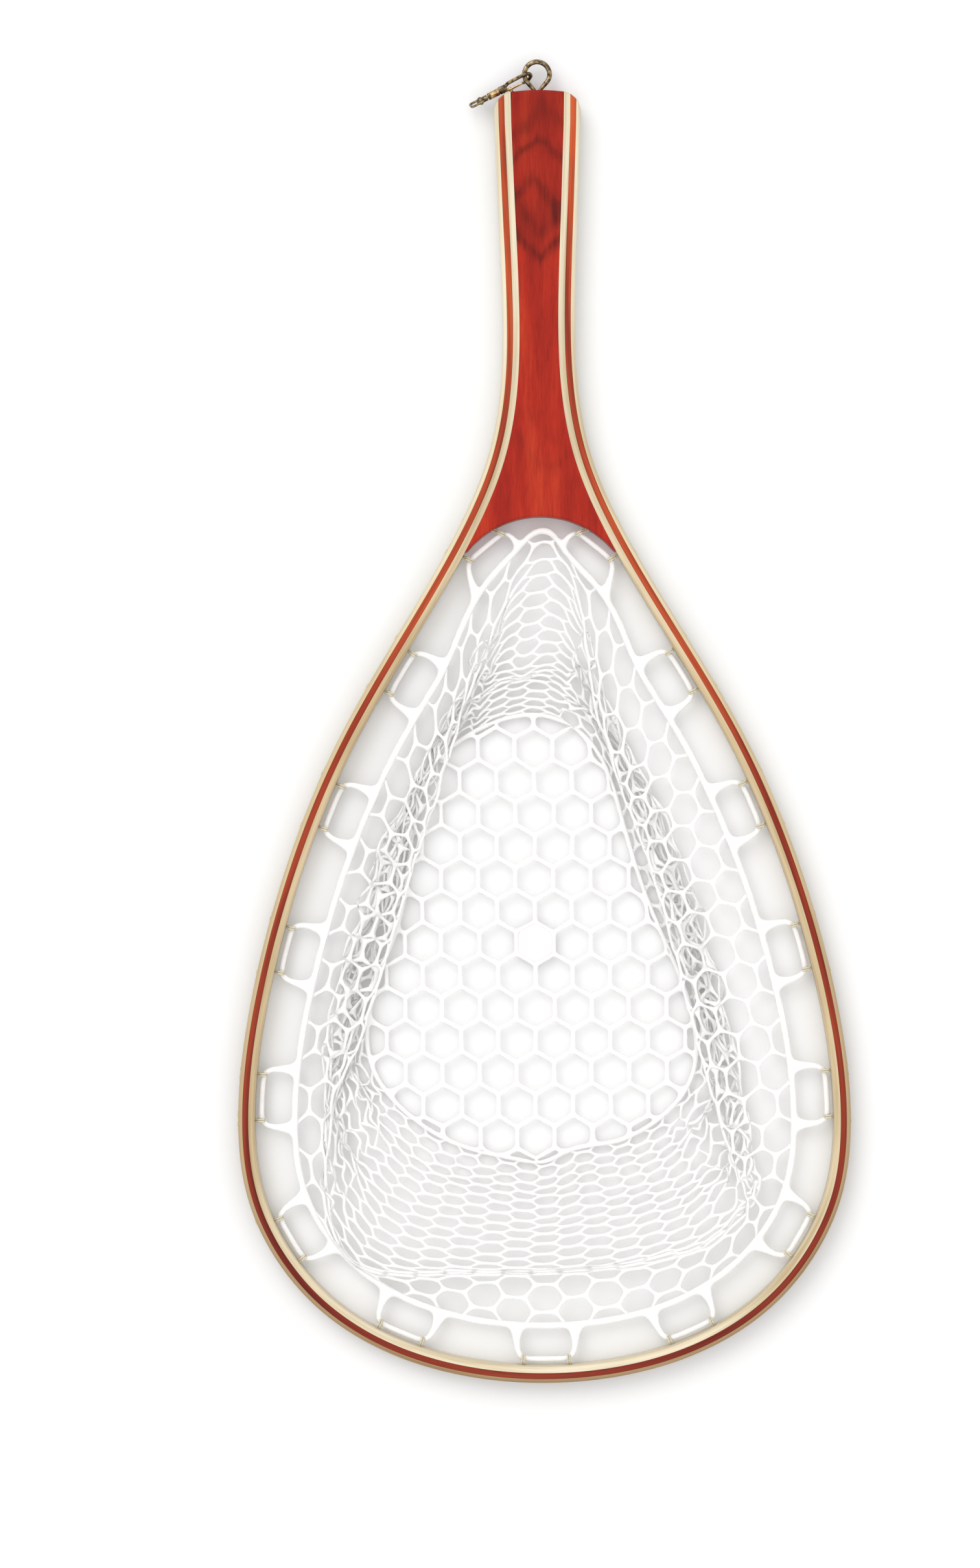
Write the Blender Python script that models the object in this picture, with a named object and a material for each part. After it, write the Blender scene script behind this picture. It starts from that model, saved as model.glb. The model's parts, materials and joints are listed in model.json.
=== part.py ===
"""A trout landing net: laminated hoop and handle, laced honeycomb bag, screw eye and swivel snap.

The net lies flat with its mouth facing up: the handle points to +Y, the hoop's foot to -Y.
Plan coordinates are in millimetres, measured from the hoop's foot on the centre line.
"""

import math

import bmesh
import bpy
import numpy as np
from mathutils import Matrix, Vector

MM = 0.001

# Overall size
FOOT_Y = -317.85
THICKNESS = 13.0
MID_Z = THICKNESS / 2
GAP = 0.3
OVERSHOOT = 1.0

# Right half of the outer outline, from the foot of the hoop to the butt's shoulder
HALF_OUTLINE = (
    (36.0, 3.1), (80.2, 17.1), (108.3, 35.7), (127.4, 57.5), (142.3, 88.5), (147.0, 128.0),
    (140.9, 181.8), (124.6, 243.9), (99.3, 306.0), (63.4, 368.2), (37.0, 414.8), (24.4, 446.0),
    (18.6, 477.0), (17.4, 515.0), (19.0, 562.0), (20.8, 610.0),
)
STATIONS = 101
FINE_STATIONS = 1521

# Laminations, from the outer face inwards
OUTER_DEPTH = 2.1
MIDDLE_DEPTH = 4.9
BAND_DEPTH = 8.0
EDGE_CHAMFER = 1.2

# Butt end of the handle
CROWN_Y = 620.2
CROWN_DROP = 2.2
SHOULDER_X = 20.8
SHOULDER_RADIUS = 8.0

# Arch that ends the handle core inside the hoop
ARCH_TOP_Y = 415.7
ARCH_TIP = (35.7, 398.5)
CORE_SIDE_POINTS = 16
CROWN_POINTS = 7
ARCH_POINTS = 15

# Screw eye
EYE_Y = 628.5
EYE_WIRE = 1.2
EYE_RADIUS = 6.05
EYE_ARC = (-30, 210)
EYE_STEPS = 22
EYE_APEX_DROP = 9.2
PILOT_DEPTH = 23.0
SHANK_SPAN = (1.4, 22.0)
SHANK_POINT_LENGTH = 3.0
SHANK_RADII = (1.14, 1.14, 0.3)
SEAT_RADIUS = 4.4
SEAT_DEPTH = 4.5

# Bag tabs and the rim that joins them
TAB_PITCH = 72.5
SIDE_TABS = 6
RIM_INSET = 19.3
RIM_WIDTH = 3.2
RIM_THICKNESS = 3.0
TAB_THICKNESS = 2.8
TAB_HALF_SPAN = 13.0
BAR_INSET = 3.0
HALF_TAB_OUTSIDE = ((12.4, 1.9), (14.3, 3.9), (15.3, 10.5), (16.6, 15.5), (17.8, 19.2))
HALF_TAB_INSIDE = ((9.8, 19.2), (12.0, 14.8), (12.9, 10.5), (12.6, 5.8), (11.7, 4.1))
ARCH_TAB_BAR = ((35.3, 396.0), (17.5, 408.4))
ARCH_TAB_RIM = ((30.0, 379.0), (10.9, 401.0))
RIM_TOP = (0.0, 409.5)
RIM_STATIONS = 84

# Lacing cord, its holes and its groove
CORD_RADIUS = 0.42
CORD_SIDES = 5
CORD_DEPTH = 0.75
STRAND_RISE = 0.55
TIE_OFFSET = 11.0
HOLE_RADIUS = 1.55
HOLE_SIDES = 6
GROOVE_DEPTH = 1.35
GROOVE_HALF_WIDTH = 1.25
LOOP_RISE = 2.1
GROOVE_STEP = 12.0
CORD_TUCK = 3.5
HOLE_INNER_END = 1.2

# Bag floor and wall, at rest collapsed inside the hoop
FLOOR_OUTLINE = (
    (-2.0, 105.0), (51.0, 122.0), (73.0, 168.0), (52.0, 227.0), (38.0, 272.0), (20.0, 311.0), (0.0, 320.6),
    (-28.0, 315.0), (-49.5, 300.0), (-68.0, 227.0), (-85.0, 170.0), (-82.0, 146.0), (-47.0, 118.4),
)
FLOOR_Z = (1.0, 3.6)
FLOOR_STATIONS = 44
WALL_STATIONS = 64
FLOOR_GAP = 0.5
RIM_GAP = 1.8
WALL_SECTION = ((0.0, 8.0), (0.3, 11.5), (0.7, 9.5), (1.0, 4.2), (1.0, 1.0), (0.5, 1.0), (0.0, 5.0))

# Snap: its own axes run along the snap, across its mouth and along the gate's pin
SNAP_CONTACT_DEG = 196
SNAP_POINTS_DEG = 207
SNAP_TILT_DEG = 25
HOOK_RADIUS = 3.0
HOOK_WIRE = 0.85
HOOK_FLATTEN = 1.2
HOOK_TIP = 2.2
HOOK_TIP_TAPER = 0.8
HOOK_STEPS = 10
HOOK_BACK = ((4.25, 3.0), (8.5, 2.85), (11.0, 1.1), (12.4, 0.9))
HEAD_RADIUS = 1.9
HEAD_SPAN = (10.2, 13.8)
BARREL_RADIUS = 1.45
BARREL_END = 20.0
BARREL_BEADS = (15.4, 19.3)
BEAD_HALF_LENGTH = 0.45
BEAD_RISE = 0.25
GATE_PIN = (12.0, -0.7)
GATE_WIRE = 0.5
GATE_LINE = ((2.6, -3.0), (9.2, -3.0), (10.6, -2.4), (11.8, -1.1))
GATE_EYE_RADIUS = 0.95
GATE_HALF_WIDTH = 0.55
LUG_AT = (8.4, -3.7)
LUG_RADIUS = 0.8
LUG_HALF_WIDTH = 1.5
SLOT_AT = (11.1, -1.7)
SLOT_SIZE = (4.2, 5.2, 1.7)
PIN_RADIUS = 0.35
PIN_HALF_LENGTH = 1.75
PIN_CLEARANCE = 0.08
PIN_CUTTER_REACH = 3.0
SPRING_LINE = ((9.7, -0.85), (10.5, 0.0), (11.3, 0.55), (12.6, 0.62))
SPRING_HALF_THICKNESS = 0.12
SPRING_HALF_WIDTH = 0.5
POST_RADIUS = 0.6
POST_SPAN = (17.0, 23.4)
BORE_START = 16.6
POST_HEAD = 24.0
POST_HEAD_RADIUS = 1.35
BAIL_SPAN = (21.3, 29.2)
BAIL_HALF_WIDTH = 2.75
BAIL_CORNER = 1.0
BAIL_WIRE = 0.6
BOSS_RADIUS = 1.45
BOSS_SPAN = (20.4, 22.05)
BOSS_CLEARANCE = 0.15
BAIL_TURN_DEG = 40

WHITE_ASH = ((0.77, 0.68, 0.46), 0.45, 0.0)
TAN_ASH = ((0.66, 0.50, 0.28), 0.45, 0.0)
REDWOOD = ((0.40, 0.07, 0.03), 0.4, 0.0)
HANDLE_RED = ((0.38, 0.022, 0.012), 0.35, 0.0)
CLEAR_RUBBER = ((0.93, 0.92, 0.91), 0.35, 0.0)
LACING_BEIGE = ((0.51, 0.45, 0.33), 0.8, 0.0)
DARK_BRASS = ((0.11, 0.085, 0.045), 0.35, 1.0)
BRIGHT_BRASS = ((0.52, 0.31, 0.10), 0.3, 1.0)


# Curves


def spline_slopes(knots, spans):
    """Slopes at the knots that keep a cubic spline's curvature continuous, with free ends."""
    count = len(knots)
    system = np.zeros((count, count))
    known = np.zeros_like(knots)
    rises = np.diff(knots, axis=0) / spans[:, None]
    system[0, :2] = (2, 1)
    system[-1, -2:] = (1, 2)
    known[0] = 3 * rises[0]
    known[-1] = 3 * rises[-1]
    for i in range(1, count - 1):
        before, after = spans[i - 1], spans[i]
        system[i, i - 1 : i + 2] = (after, 2 * (before + after), before)
        known[i] = 3 * (after * rises[i - 1] + before * rises[i])
    return np.linalg.solve(system, known)


def even_points(line, count):
    """The polyline again, as count evenly spaced points."""
    lengths = np.append(0, np.cumsum(np.linalg.norm(np.diff(line, axis=0), axis=1)))
    wanted = np.linspace(0, lengths[-1], count)
    return np.column_stack([np.interp(wanted, lengths, column) for column in line.T])


def smooth_line(points, count, closed=False):
    """Evenly spaced points on the cubic spline through the given points."""
    wrap = 4 if closed else 0
    knots = np.array(points, float)
    spans_used = len(knots) - 1 + closed
    if closed:
        knots = np.vstack([knots[-wrap:], knots, knots[: wrap + 1]])
    spans = np.linalg.norm(np.diff(knots, axis=0), axis=1)
    slopes = spline_slopes(knots, spans)
    share = np.linspace(0, 1, 40, endpoint=False)[:, None]
    pieces = []
    for i in range(wrap, wrap + spans_used):
        start = (1 + 2 * share) * (1 - share) ** 2 * knots[i]
        end = share**2 * (3 - 2 * share) * knots[i + 1]
        leave = share * (1 - share) ** 2 * spans[i] * slopes[i]
        arrive = share**2 * (share - 1) * spans[i] * slopes[i + 1]
        pieces.append(start + end + leave + arrive)
    line = np.vstack(pieces + [knots[wrap + spans_used][None]])
    return even_points(line, count + closed)[: count if closed else None]


def left_normals(line, closed=False):
    """Unit normals to the left of a plan line's direction of travel."""
    if closed:
        along = np.roll(line, -1, axis=0) - np.roll(line, 1, axis=0)
    else:
        along = np.gradient(line, axis=0)
    along /= np.linalg.norm(along, axis=1)[:, None]
    return np.column_stack([-along[:, 1], along[:, 0]])


def full_outline(count):
    """The outer outline from the left shoulder round the foot to the right one."""
    left = [(-x, y) for x, y in reversed(HALF_OUTLINE)]
    return smooth_line(left + [(0.0, 0.0)] + list(HALF_OUTLINE), count)


def world(x, y, z):
    """A plan point and a height in millimetres as a point of the model in metres."""
    return Vector((x * MM, (y + FOOT_Y) * MM, z * MM))


# Meshes


def mesh_object(name, shape, material=None):
    mesh = bpy.data.meshes.new(name)
    bmesh.ops.recalc_face_normals(shape, faces=shape.faces)
    shape.to_mesh(mesh)
    shape.free()
    obj = bpy.data.objects.new(name, mesh)
    bpy.context.scene.collection.objects.link(obj)
    if material:
        mesh.materials.append(material)
    mesh.shade_smooth()
    mesh.set_sharp_from_angle(angle=math.radians(35))
    return obj


def add_skin(shape, rings, closed=False):
    """Joins rings of points one after the other, with caps on the two ends of an open run."""
    rows = [[shape.verts.new(point) for point in ring] for ring in rings]
    sides = len(rows[0])
    for i in range(len(rows) if closed else len(rows) - 1):
        this, following = rows[i], rows[(i + 1) % len(rows)]
        for k in range(sides):
            after = (k + 1) % sides
            shape.faces.new((this[k], this[after], following[after], following[k]))
    if not closed:
        shape.faces.new(rows[0])
        shape.faces.new(list(reversed(rows[-1])))


def add_tube(shape, points, radius, sides=8, closed=False, flatten=1.0):
    """A round bar along the points; radius may be one number or one for each point."""
    points = [Vector(point) for point in points]
    count = len(points)
    radii = radius if hasattr(radius, "__len__") else [radius] * count
    rings = []
    across = None
    for i, point in enumerate(points):
        before = points[(i - 1) % count] if closed or i else point
        after = points[(i + 1) % count] if closed or i < count - 1 else point
        along = (after - before).normalized()
        if across is None:
            across = along.orthogonal() if abs(along.z) > 0.9 else Vector((0, 0, 1)).cross(along)
        across = (across - along * across.dot(along)).normalized()
        up = along.cross(across)
        turns = [2 * math.pi * (k + 0.5) / sides for k in range(sides)]
        rings.append(
            [point + radii[i] * (flatten * across * math.cos(turn) + up * math.sin(turn)) for turn in turns]
        )
    add_skin(shape, rings, closed)


def add_prism(shape, corners, bottom, top):
    """A plan polygon standing from one height to another."""
    low = [shape.verts.new(world(x, y, bottom)) for x, y in corners]
    high = [shape.verts.new(world(x, y, top)) for x, y in corners]
    shape.faces.new(low)
    shape.faces.new(high)
    for k in range(len(corners)):
        after = (k + 1) % len(corners)
        shape.faces.new((low[k], low[after], high[after], high[k]))


def tube_object(name, points, radius, material=None, **options):
    shape = bmesh.new()
    add_tube(shape, points, radius, **options)
    return mesh_object(name, shape, material)


def combine(obj, helper, operation):
    """Cuts the helper from the object, or joins it on, and keeps the helper as a guide."""
    modifier = obj.modifiers.new(helper.name, "BOOLEAN")
    modifier.operation = operation
    modifier.object = helper
    modifier.solver = "EXACT"
    helper.hide_render = True
    helper.display_type = "WIRE"


def empty_at(name, matrix, parent=None):
    empty = bpy.data.objects.new(name, None)
    bpy.context.scene.collection.objects.link(empty)
    empty.empty_display_size = 10 * MM
    empty.parent = parent
    empty.matrix_local = matrix
    return empty


def finish_material(name, look):
    colour, roughness, metallic = look
    material = bpy.data.materials.new(name)
    material.use_nodes = True
    shader = material.node_tree.nodes["Principled BSDF"]
    shader.inputs["Base Color"].default_value = (*colour, 1.0)
    shader.inputs["Roughness"].default_value = roughness
    shader.inputs["Metallic"].default_value = metallic
    return material


# Wooden frame


def butt_height(x):
    """Height of the handle's end at a distance from the centre line: a low crown with round shoulders."""
    crown = CROWN_Y - CROWN_DROP * (x / SHOULDER_X) ** 2
    over = max(0.0, SHOULDER_RADIUS - (SHOULDER_X - abs(x)))
    return crown - SHOULDER_RADIUS + math.sqrt(SHOULDER_RADIUS**2 - over**2)


def lamination(name, section, material):
    """A strip that follows the outline; its section is a list of depths and heights."""
    line = full_outline(STATIONS)
    inwards = left_normals(line)
    shape = bmesh.new()
    rings = []
    for i, (point, inward) in enumerate(zip(line, inwards)):
        ring = []
        for depth, z in section:
            x, y = point + inward * depth
            if i in (0, STATIONS - 1):
                x = math.copysign(SHOULDER_X - depth, x)
                y = butt_height(x)
            ring.append(world(x, y, z))
        rings.append(ring)
    add_skin(shape, rings)
    return mesh_object(name, shape, material)


def strip_section(start, end):
    return [(start, 0), (end, 0), (end, THICKNESS), (start, THICKNESS)]


def chamfered_section(end):
    low, high = EDGE_CHAMFER, THICKNESS - EDGE_CHAMFER
    return [(0, low), (EDGE_CHAMFER, 0), (end, 0), (end, THICKNESS), (EDGE_CHAMFER, THICKNESS), (0, high)]


def arch_height(x):
    """Height of the round arch that runs from tip to tip over its top."""
    rise = ARCH_TOP_Y - ARCH_TIP[1]
    radius = (ARCH_TIP[0] ** 2 + rise**2) / (2 * rise)
    return ARCH_TOP_Y - radius + math.sqrt(radius**2 - x**2)


def handle_core(material):
    """The solid between the inner laminations, from the crowned butt to the arch in the hoop."""
    line = full_outline(FINE_STATIONS)
    inner = line + left_normals(line) * (BAND_DEPTH + GAP)
    right = inner[FINE_STATIONS // 2 :]
    side = even_points(right[right[:, 1] > ARCH_TIP[1]], CORE_SIDE_POINTS)
    corner_x = SHOULDER_X - BAND_DEPTH - GAP
    side[-1] = (corner_x, butt_height(corner_x))
    crown = [(x, butt_height(x)) for x in np.linspace(corner_x, -corner_x, CROWN_POINTS)[1:-1]]
    across = np.linspace(-side[0][0], side[0][0], ARCH_POINTS)
    arch = [(x, arch_height(x)) for x in across[1:-1]]
    corners = [tuple(p) for p in side] + crown + [(-x, y) for x, y in reversed(side)] + arch
    shape = bmesh.new()
    add_prism(shape, corners, 0, THICKNESS)
    core = mesh_object("handle_core", shape, material)
    depths = (PILOT_DEPTH, SEAT_DEPTH, 0, -2 * OVERSHOOT)
    pilot = tube_object(
        "pilot_cutter",
        [world(0, CROWN_Y - depth, MID_Z) for depth in depths],
        [(EYE_WIRE + GAP) * MM] * 2 + [SEAT_RADIUS * MM] * 2,
        sides=12,
    )
    combine(core, pilot, "DIFFERENCE")
    return core


def screw_eye(material):
    """A ring closed by two straight legs that run down to the shank."""
    start, end = EYE_ARC
    turns = [math.radians(start + (end - start) * k / EYE_STEPS) for k in range(EYE_STEPS + 1)]
    ring = [world(EYE_RADIUS * math.cos(turn), EYE_Y + EYE_RADIUS * math.sin(turn), MID_Z) for turn in turns]
    ring.append(world(0, EYE_Y - EYE_APEX_DROP, MID_Z))
    eye = tube_object("screw_eye", ring, EYE_WIRE * MM, material, sides=10, closed=True)
    neck, tip = (CROWN_Y - depth for depth in SHANK_SPAN)
    shank = tube_object(
        "shank_guide",
        [world(0, y, MID_Z) for y in (neck, tip + SHANK_POINT_LENGTH, tip)],
        [radius * MM for radius in SHANK_RADII],
        sides=10,
    )
    combine(eye, shank, "UNION")
    return eye


# Bag tabs, rim and lacing


class HoopInside:
    """The hoop's inner face, looked up by its length from the foot."""

    def __init__(self):
        line = full_outline(FINE_STATIONS)
        self.outline = line
        self.face = line + left_normals(line) * BAND_DEPTH
        self.inwards = left_normals(self.face)
        steps = np.linalg.norm(np.diff(self.face, axis=0), axis=1)
        lengths = np.append(0, np.cumsum(steps))
        self.lengths = lengths - lengths[FINE_STATIONS // 2]

    def at(self, length):
        i = int(np.argmin(np.abs(self.lengths - length)))
        return self.face[i], self.inwards[i]

    def nearest_outline(self, point):
        return int(np.argmin(np.linalg.norm(self.outline - point, axis=1)))


def hoop_tab(inside, index):
    """Map from a tab's own coordinates (along the hoop, inwards) to the plan."""
    origin, inward = inside.at(index * TAB_PITCH)
    along = np.array([inward[1], -inward[0]])
    return lambda t, u: origin + along * t + inward * u


def arch_tab(side):
    """The tab in the arch's corner, whose bar is pulled askew from its rim."""
    bar = np.array(ARCH_TAB_BAR) * (side, 1)
    rim = np.array(ARCH_TAB_RIM) * (side, 1)
    if side < 0:
        bar, rim = bar[::-1], rim[::-1]

    def place(t, u):
        share = (t + TAB_HALF_SPAN) / (2 * TAB_HALF_SPAN)
        on_bar = bar[0] + (bar[1] - bar[0]) * share
        on_rim = rim[0] + (rim[1] - rim[0]) * share
        return on_bar + (on_rim - on_bar) * u / RIM_INSET

    return place


def all_tabs(inside):
    """Every tab's map, in order round the hoop from the arch's left corner to its right one."""
    middle = [hoop_tab(inside, index) for index in range(-SIDE_TABS, SIDE_TABS + 1)]
    return [arch_tab(-1)] + middle + [arch_tab(1)]


def rim_line(tabs, count):
    """Centre line of the rim, starting near the arch's left corner."""
    points = [tab(t, RIM_INSET) for tab in tabs for t in (-TAB_HALF_SPAN, TAB_HALF_SPAN)]
    return smooth_line(points + [RIM_TOP], count, closed=True)


def bag_rim(tabs, material):
    line = rim_line(tabs, RIM_STATIONS)
    across = left_normals(line, closed=True) * RIM_WIDTH / 2
    low, high = MID_Z - RIM_THICKNESS / 2, MID_Z + RIM_THICKNESS / 2
    rings = [
        [world(*(p - n), low), world(*(p + n), low), world(*(p + n), high), world(*(p - n), high)]
        for p, n in zip(line, across)
    ]
    shape = bmesh.new()
    add_skin(shape, rings, closed=True)
    rim = mesh_object("bag_rim", shape, material)
    half = HALF_TAB_OUTSIDE + HALF_TAB_INSIDE
    corners = list(half) + [(-t, u) for t, u in reversed(half)]
    shape = bmesh.new()
    low, high = MID_Z - TAB_THICKNESS / 2, MID_Z + TAB_THICKNESS / 2
    for tab in tabs:
        add_prism(shape, [tuple(tab(t, u)) for t, u in corners], low, high)
    combine(rim, mesh_object("tab_guide", shape), "UNION")
    return rim


class Tie:
    """One place where the lacing passes through the hoop and round a tab's bar."""

    def __init__(self, inside, bar_point):
        self.bar = bar_point
        self.station = inside.nearest_outline(bar_point)
        out = inside.outline[self.station] - bar_point
        self.reach = float(np.linalg.norm(out))
        self.out = out / self.reach

    def at(self, distance, z):
        return world(*(self.bar + self.out * distance), MID_Z + z)

    def loop(self):
        """Out of the hole above the bar, down inside the tab and back below it."""
        over = [(2.25, STRAND_RISE), (1.7, 1.5), (1.0, LOOP_RISE), (-1.2, LOOP_RISE)]
        under = [(distance, -z) for distance, z in reversed(over)]
        return [self.at(distance, z) for distance, z in over + [(-1.95, 0.0)] + under]


def all_ties(inside, tabs):
    return [Tie(inside, tab(t, BAR_INSET)) for tab in tabs for t in (-TIE_OFFSET, TIE_OFFSET)]


def groove_run(inside, start, end):
    """The cord between two holes, sinking from the lower strand's side to the upper one's."""
    length = abs(inside.lengths[end] - inside.lengths[start])
    count = int(length // GROOVE_STEP)
    inwards = left_normals(inside.outline)
    points = []
    for k in range(1, count + 1):
        share = k / (count + 1)
        i = round(start + (end - start) * share)
        x, y = inside.outline[i] + inwards[i] * CORD_DEPTH
        points.append(world(x, y, MID_Z + STRAND_RISE * (2 * share - 1)))
    return points


def lacing_cord(inside, ties, material):
    """One cord from the first hole to the last, with both ends tucked into the holes."""
    points = []
    for i, tie in enumerate(ties):
        enters = CORD_TUCK if i == 0 else CORD_DEPTH
        leaves = CORD_TUCK if i == len(ties) - 1 else CORD_DEPTH
        points.append(tie.at(tie.reach - enters, STRAND_RISE))
        points.extend(tie.loop())
        points.append(tie.at(tie.reach - leaves, -STRAND_RISE))
        if i < len(ties) - 1:
            points.extend(groove_run(inside, tie.station, ties[i + 1].station))
    return tube_object("lacing_cord", points, CORD_RADIUS * MM, material, sides=CORD_SIDES)


def lacing_holes(ties):
    shape = bmesh.new()
    for tie in ties:
        ends = [tie.at(HOLE_INNER_END, 0), tie.at(tie.reach + OVERSHOOT, 0)]
        add_tube(shape, ends, HOLE_RADIUS * MM, sides=HOLE_SIDES)
    return mesh_object("lacing_hole_cutter", shape)


def lacing_groove(inside, ties):
    """Cutter for the shallow groove that the cord lies in, round the outside of the hoop."""
    line = full_outline(STATIONS)
    inwards = left_normals(line)
    step = (FINE_STATIONS - 1) / (STATIONS - 1)
    first, last = math.floor(ties[0].station / step), math.ceil(ties[-1].station / step)
    rings = []
    for point, inward in zip(line[first : last + 1], inwards[first : last + 1]):
        ring = []
        for depth, side in ((-OVERSHOOT, -1), (GROOVE_DEPTH, -1), (GROOVE_DEPTH, 1), (-OVERSHOOT, 1)):
            x, y = point + inward * depth
            ring.append(world(x, y, MID_Z + side * GROOVE_HALF_WIDTH))
        rings.append(ring)
    shape = bmesh.new()
    add_skin(shape, rings)
    return mesh_object("lacing_groove_cutter", shape)


# Bag floor and wall


def floor_line(count, outset=0.0):
    line = smooth_line(FLOOR_OUTLINE, count, closed=True)
    return line - left_normals(line, closed=True) * outset


def bag_base(material):
    """The flat floor of the bag, with its origin on the line it drops along."""
    line = floor_line(FLOOR_STATIONS)
    centre = line.mean(axis=0)
    shape = bmesh.new()
    add_prism(shape, [tuple(p) for p in line], *FLOOR_Z)
    origin = world(*centre, FLOOR_Z[0])
    bmesh.ops.translate(shape, verts=shape.verts, vec=-origin)
    base = mesh_object("bag_base", shape, material)
    base.location = origin
    return base


def bag_wall(tabs, material):
    """The bag's folded wall, as one ring between the rim and the floor."""
    rim = rim_line(tabs, 4 * WALL_STATIONS)
    rim = rim + left_normals(rim, closed=True) * (RIM_WIDTH / 2 + RIM_GAP)
    start = int(np.argmin(np.hypot(rim[:, 0], rim[:, 1] - RIM_INSET)))
    outer = np.roll(rim, -start, axis=0)[::4]
    inner = floor_line(WALL_STATIONS, FLOOR_GAP)
    rings = []
    for far, near in zip(outer, inner):
        rings.append([world(*(far + (near - far) * share), z) for share, z in WALL_SECTION])
    shape = bmesh.new()
    add_skin(shape, rings, closed=True)
    return mesh_object("bag_wall", shape, material)


# Swivel snap, in its own axes: s along the snap, t across its mouth, w along the gate's pin


def snap_point(s, t, w=0.0):
    return Vector((s, t, w)) * MM


def snap_matrix():
    """From the snap's axes to axes at the centre of the eye."""
    contact = math.radians(SNAP_CONTACT_DEG)
    heading = math.radians(SNAP_POINTS_DEG)
    tilt = math.radians(SNAP_TILT_DEG)
    along = Vector((math.cos(heading), math.sin(heading), 0))
    towards_wood = Vector((-along.y, along.x, 0))
    across = Vector((0, 0, math.cos(tilt))) - towards_wood * math.sin(tilt)
    turned = Matrix((along, across, along.cross(across))).transposed().to_4x4()
    offset = Vector((math.cos(contact), math.sin(contact), 0)) * EYE_RADIUS * MM
    return Matrix.Translation(offset) @ turned


def rod(name, start, end, radius, material=None, sides=12):
    """A straight bar of the snap; radius may be one number or one for each end."""
    radii = radius if hasattr(radius, "__len__") else (radius, radius)
    ends = [snap_point(*start), snap_point(*end)]
    return tube_object(name, ends, [r * MM for r in radii], material, sides=sides)


def snap_body(material):
    """Hook, back bar, slotted head and barrel."""
    turns = [math.radians(270 - 180 * k / HOOK_STEPS) for k in range(HOOK_STEPS + 1)]
    hook = [(HOOK_TIP, -HOOK_RADIUS)]
    hook += [(HOOK_RADIUS * math.cos(turn), HOOK_RADIUS * math.sin(turn)) for turn in turns]
    hook += list(HOOK_BACK)
    radii = [HOOK_WIRE * HOOK_TIP_TAPER * MM] + [HOOK_WIRE * MM] * (len(hook) - 1)
    line = [snap_point(s, t) for s, t in hook]
    body = tube_object("snap_body", line, radii, material, sides=8, flatten=HOOK_FLATTEN)
    head_start, head_end = HEAD_SPAN
    combine(body, rod("head_guide", (head_start, 0), (head_end, 0), HEAD_RADIUS), "UNION")
    barrel = rod("barrel_guide", (head_end - OVERSHOOT, 0), (BARREL_END, 0), BARREL_RADIUS)
    combine(body, barrel, "UNION")
    for k, bead in enumerate(BARREL_BEADS):
        ends = (bead - BEAD_HALF_LENGTH, 0), (bead + BEAD_HALF_LENGTH, 0)
        combine(body, rod(f"bead_guide_{k}", *ends, BARREL_RADIUS + BEAD_RISE, sides=14), "UNION")
    slot = bmesh.new()
    bmesh.ops.create_cube(slot, size=MM)
    bmesh.ops.scale(slot, verts=slot.verts, vec=SLOT_SIZE)
    bmesh.ops.translate(slot, verts=slot.verts, vec=snap_point(*SLOT_AT))
    combine(body, mesh_object("slot_cutter", slot), "DIFFERENCE")
    s, t = GATE_PIN
    ends = (s, t, -PIN_CUTTER_REACH), (s, t, PIN_CUTTER_REACH)
    combine(body, rod("pin_cutter", *ends, PIN_RADIUS + PIN_CLEARANCE), "DIFFERENCE")
    ends = (BORE_START, 0), (BARREL_END + OVERSHOOT, 0)
    combine(body, rod("post_cutter", *ends, POST_RADIUS + PIN_CLEARANCE), "DIFFERENCE")
    return body


def snap_gate(material):
    """The sprung lever that shuts the hook, with its origin on the pin."""
    pin_s, pin_t = GATE_PIN
    points = [snap_point(s - pin_s, t - pin_t) for s, t in GATE_LINE]
    gate = tube_object("snap_gate", points, GATE_WIRE * MM, material, sides=8)
    half = GATE_HALF_WIDTH
    combine(gate, rod("gate_eye_guide", (0, 0, -half), (0, 0, half), GATE_EYE_RADIUS), "UNION")
    lug_s, lug_t = LUG_AT[0] - pin_s, LUG_AT[1] - pin_t
    lug = rod("lug_guide", (lug_s, lug_t, -LUG_HALF_WIDTH), (lug_s, lug_t, LUG_HALF_WIDTH), LUG_RADIUS)
    combine(gate, lug, "UNION")
    ends = (0, 0, -PIN_CUTTER_REACH), (0, 0, PIN_CUTTER_REACH)
    combine(gate, rod("gate_eye_cutter", *ends, PIN_RADIUS + PIN_CLEARANCE), "DIFFERENCE")
    return gate


def gate_pin(material):
    s, t = GATE_PIN
    return rod("gate_pin", (s, t, -PIN_HALF_LENGTH), (s, t, PIN_HALF_LENGTH), PIN_RADIUS, material)


def gate_spring(material):
    """A bent leaf over the gate's eye, between the cheeks of the head."""
    thick, wide = SPRING_HALF_THICKNESS, SPRING_HALF_WIDTH
    rings = []
    for (s, t), (across_s, across_t) in zip(SPRING_LINE, left_normals(np.array(SPRING_LINE))):
        ring = []
        for side, w in ((-thick, -wide), (thick, -wide), (thick, wide), (-thick, wide)):
            ring.append(snap_point(s + side * across_s, t + side * across_t, w))
        rings.append(ring)
    shape = bmesh.new()
    add_skin(shape, rings)
    return mesh_object("gate_spring", shape, material)


def swivel_post(material):
    """The rivet that the bail turns on: a pin with a round head inside the bail."""
    post = rod("swivel_post", (POST_SPAN[0], 0), (POST_SPAN[1], 0), POST_RADIUS, material)
    ball = bmesh.new()
    bmesh.ops.create_uvsphere(ball, u_segments=12, v_segments=8, radius=POST_HEAD_RADIUS * MM)
    bmesh.ops.translate(ball, verts=ball.verts, vec=snap_point(POST_HEAD, 0))
    combine(post, mesh_object("post_head_guide", ball), "UNION")
    return post


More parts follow.
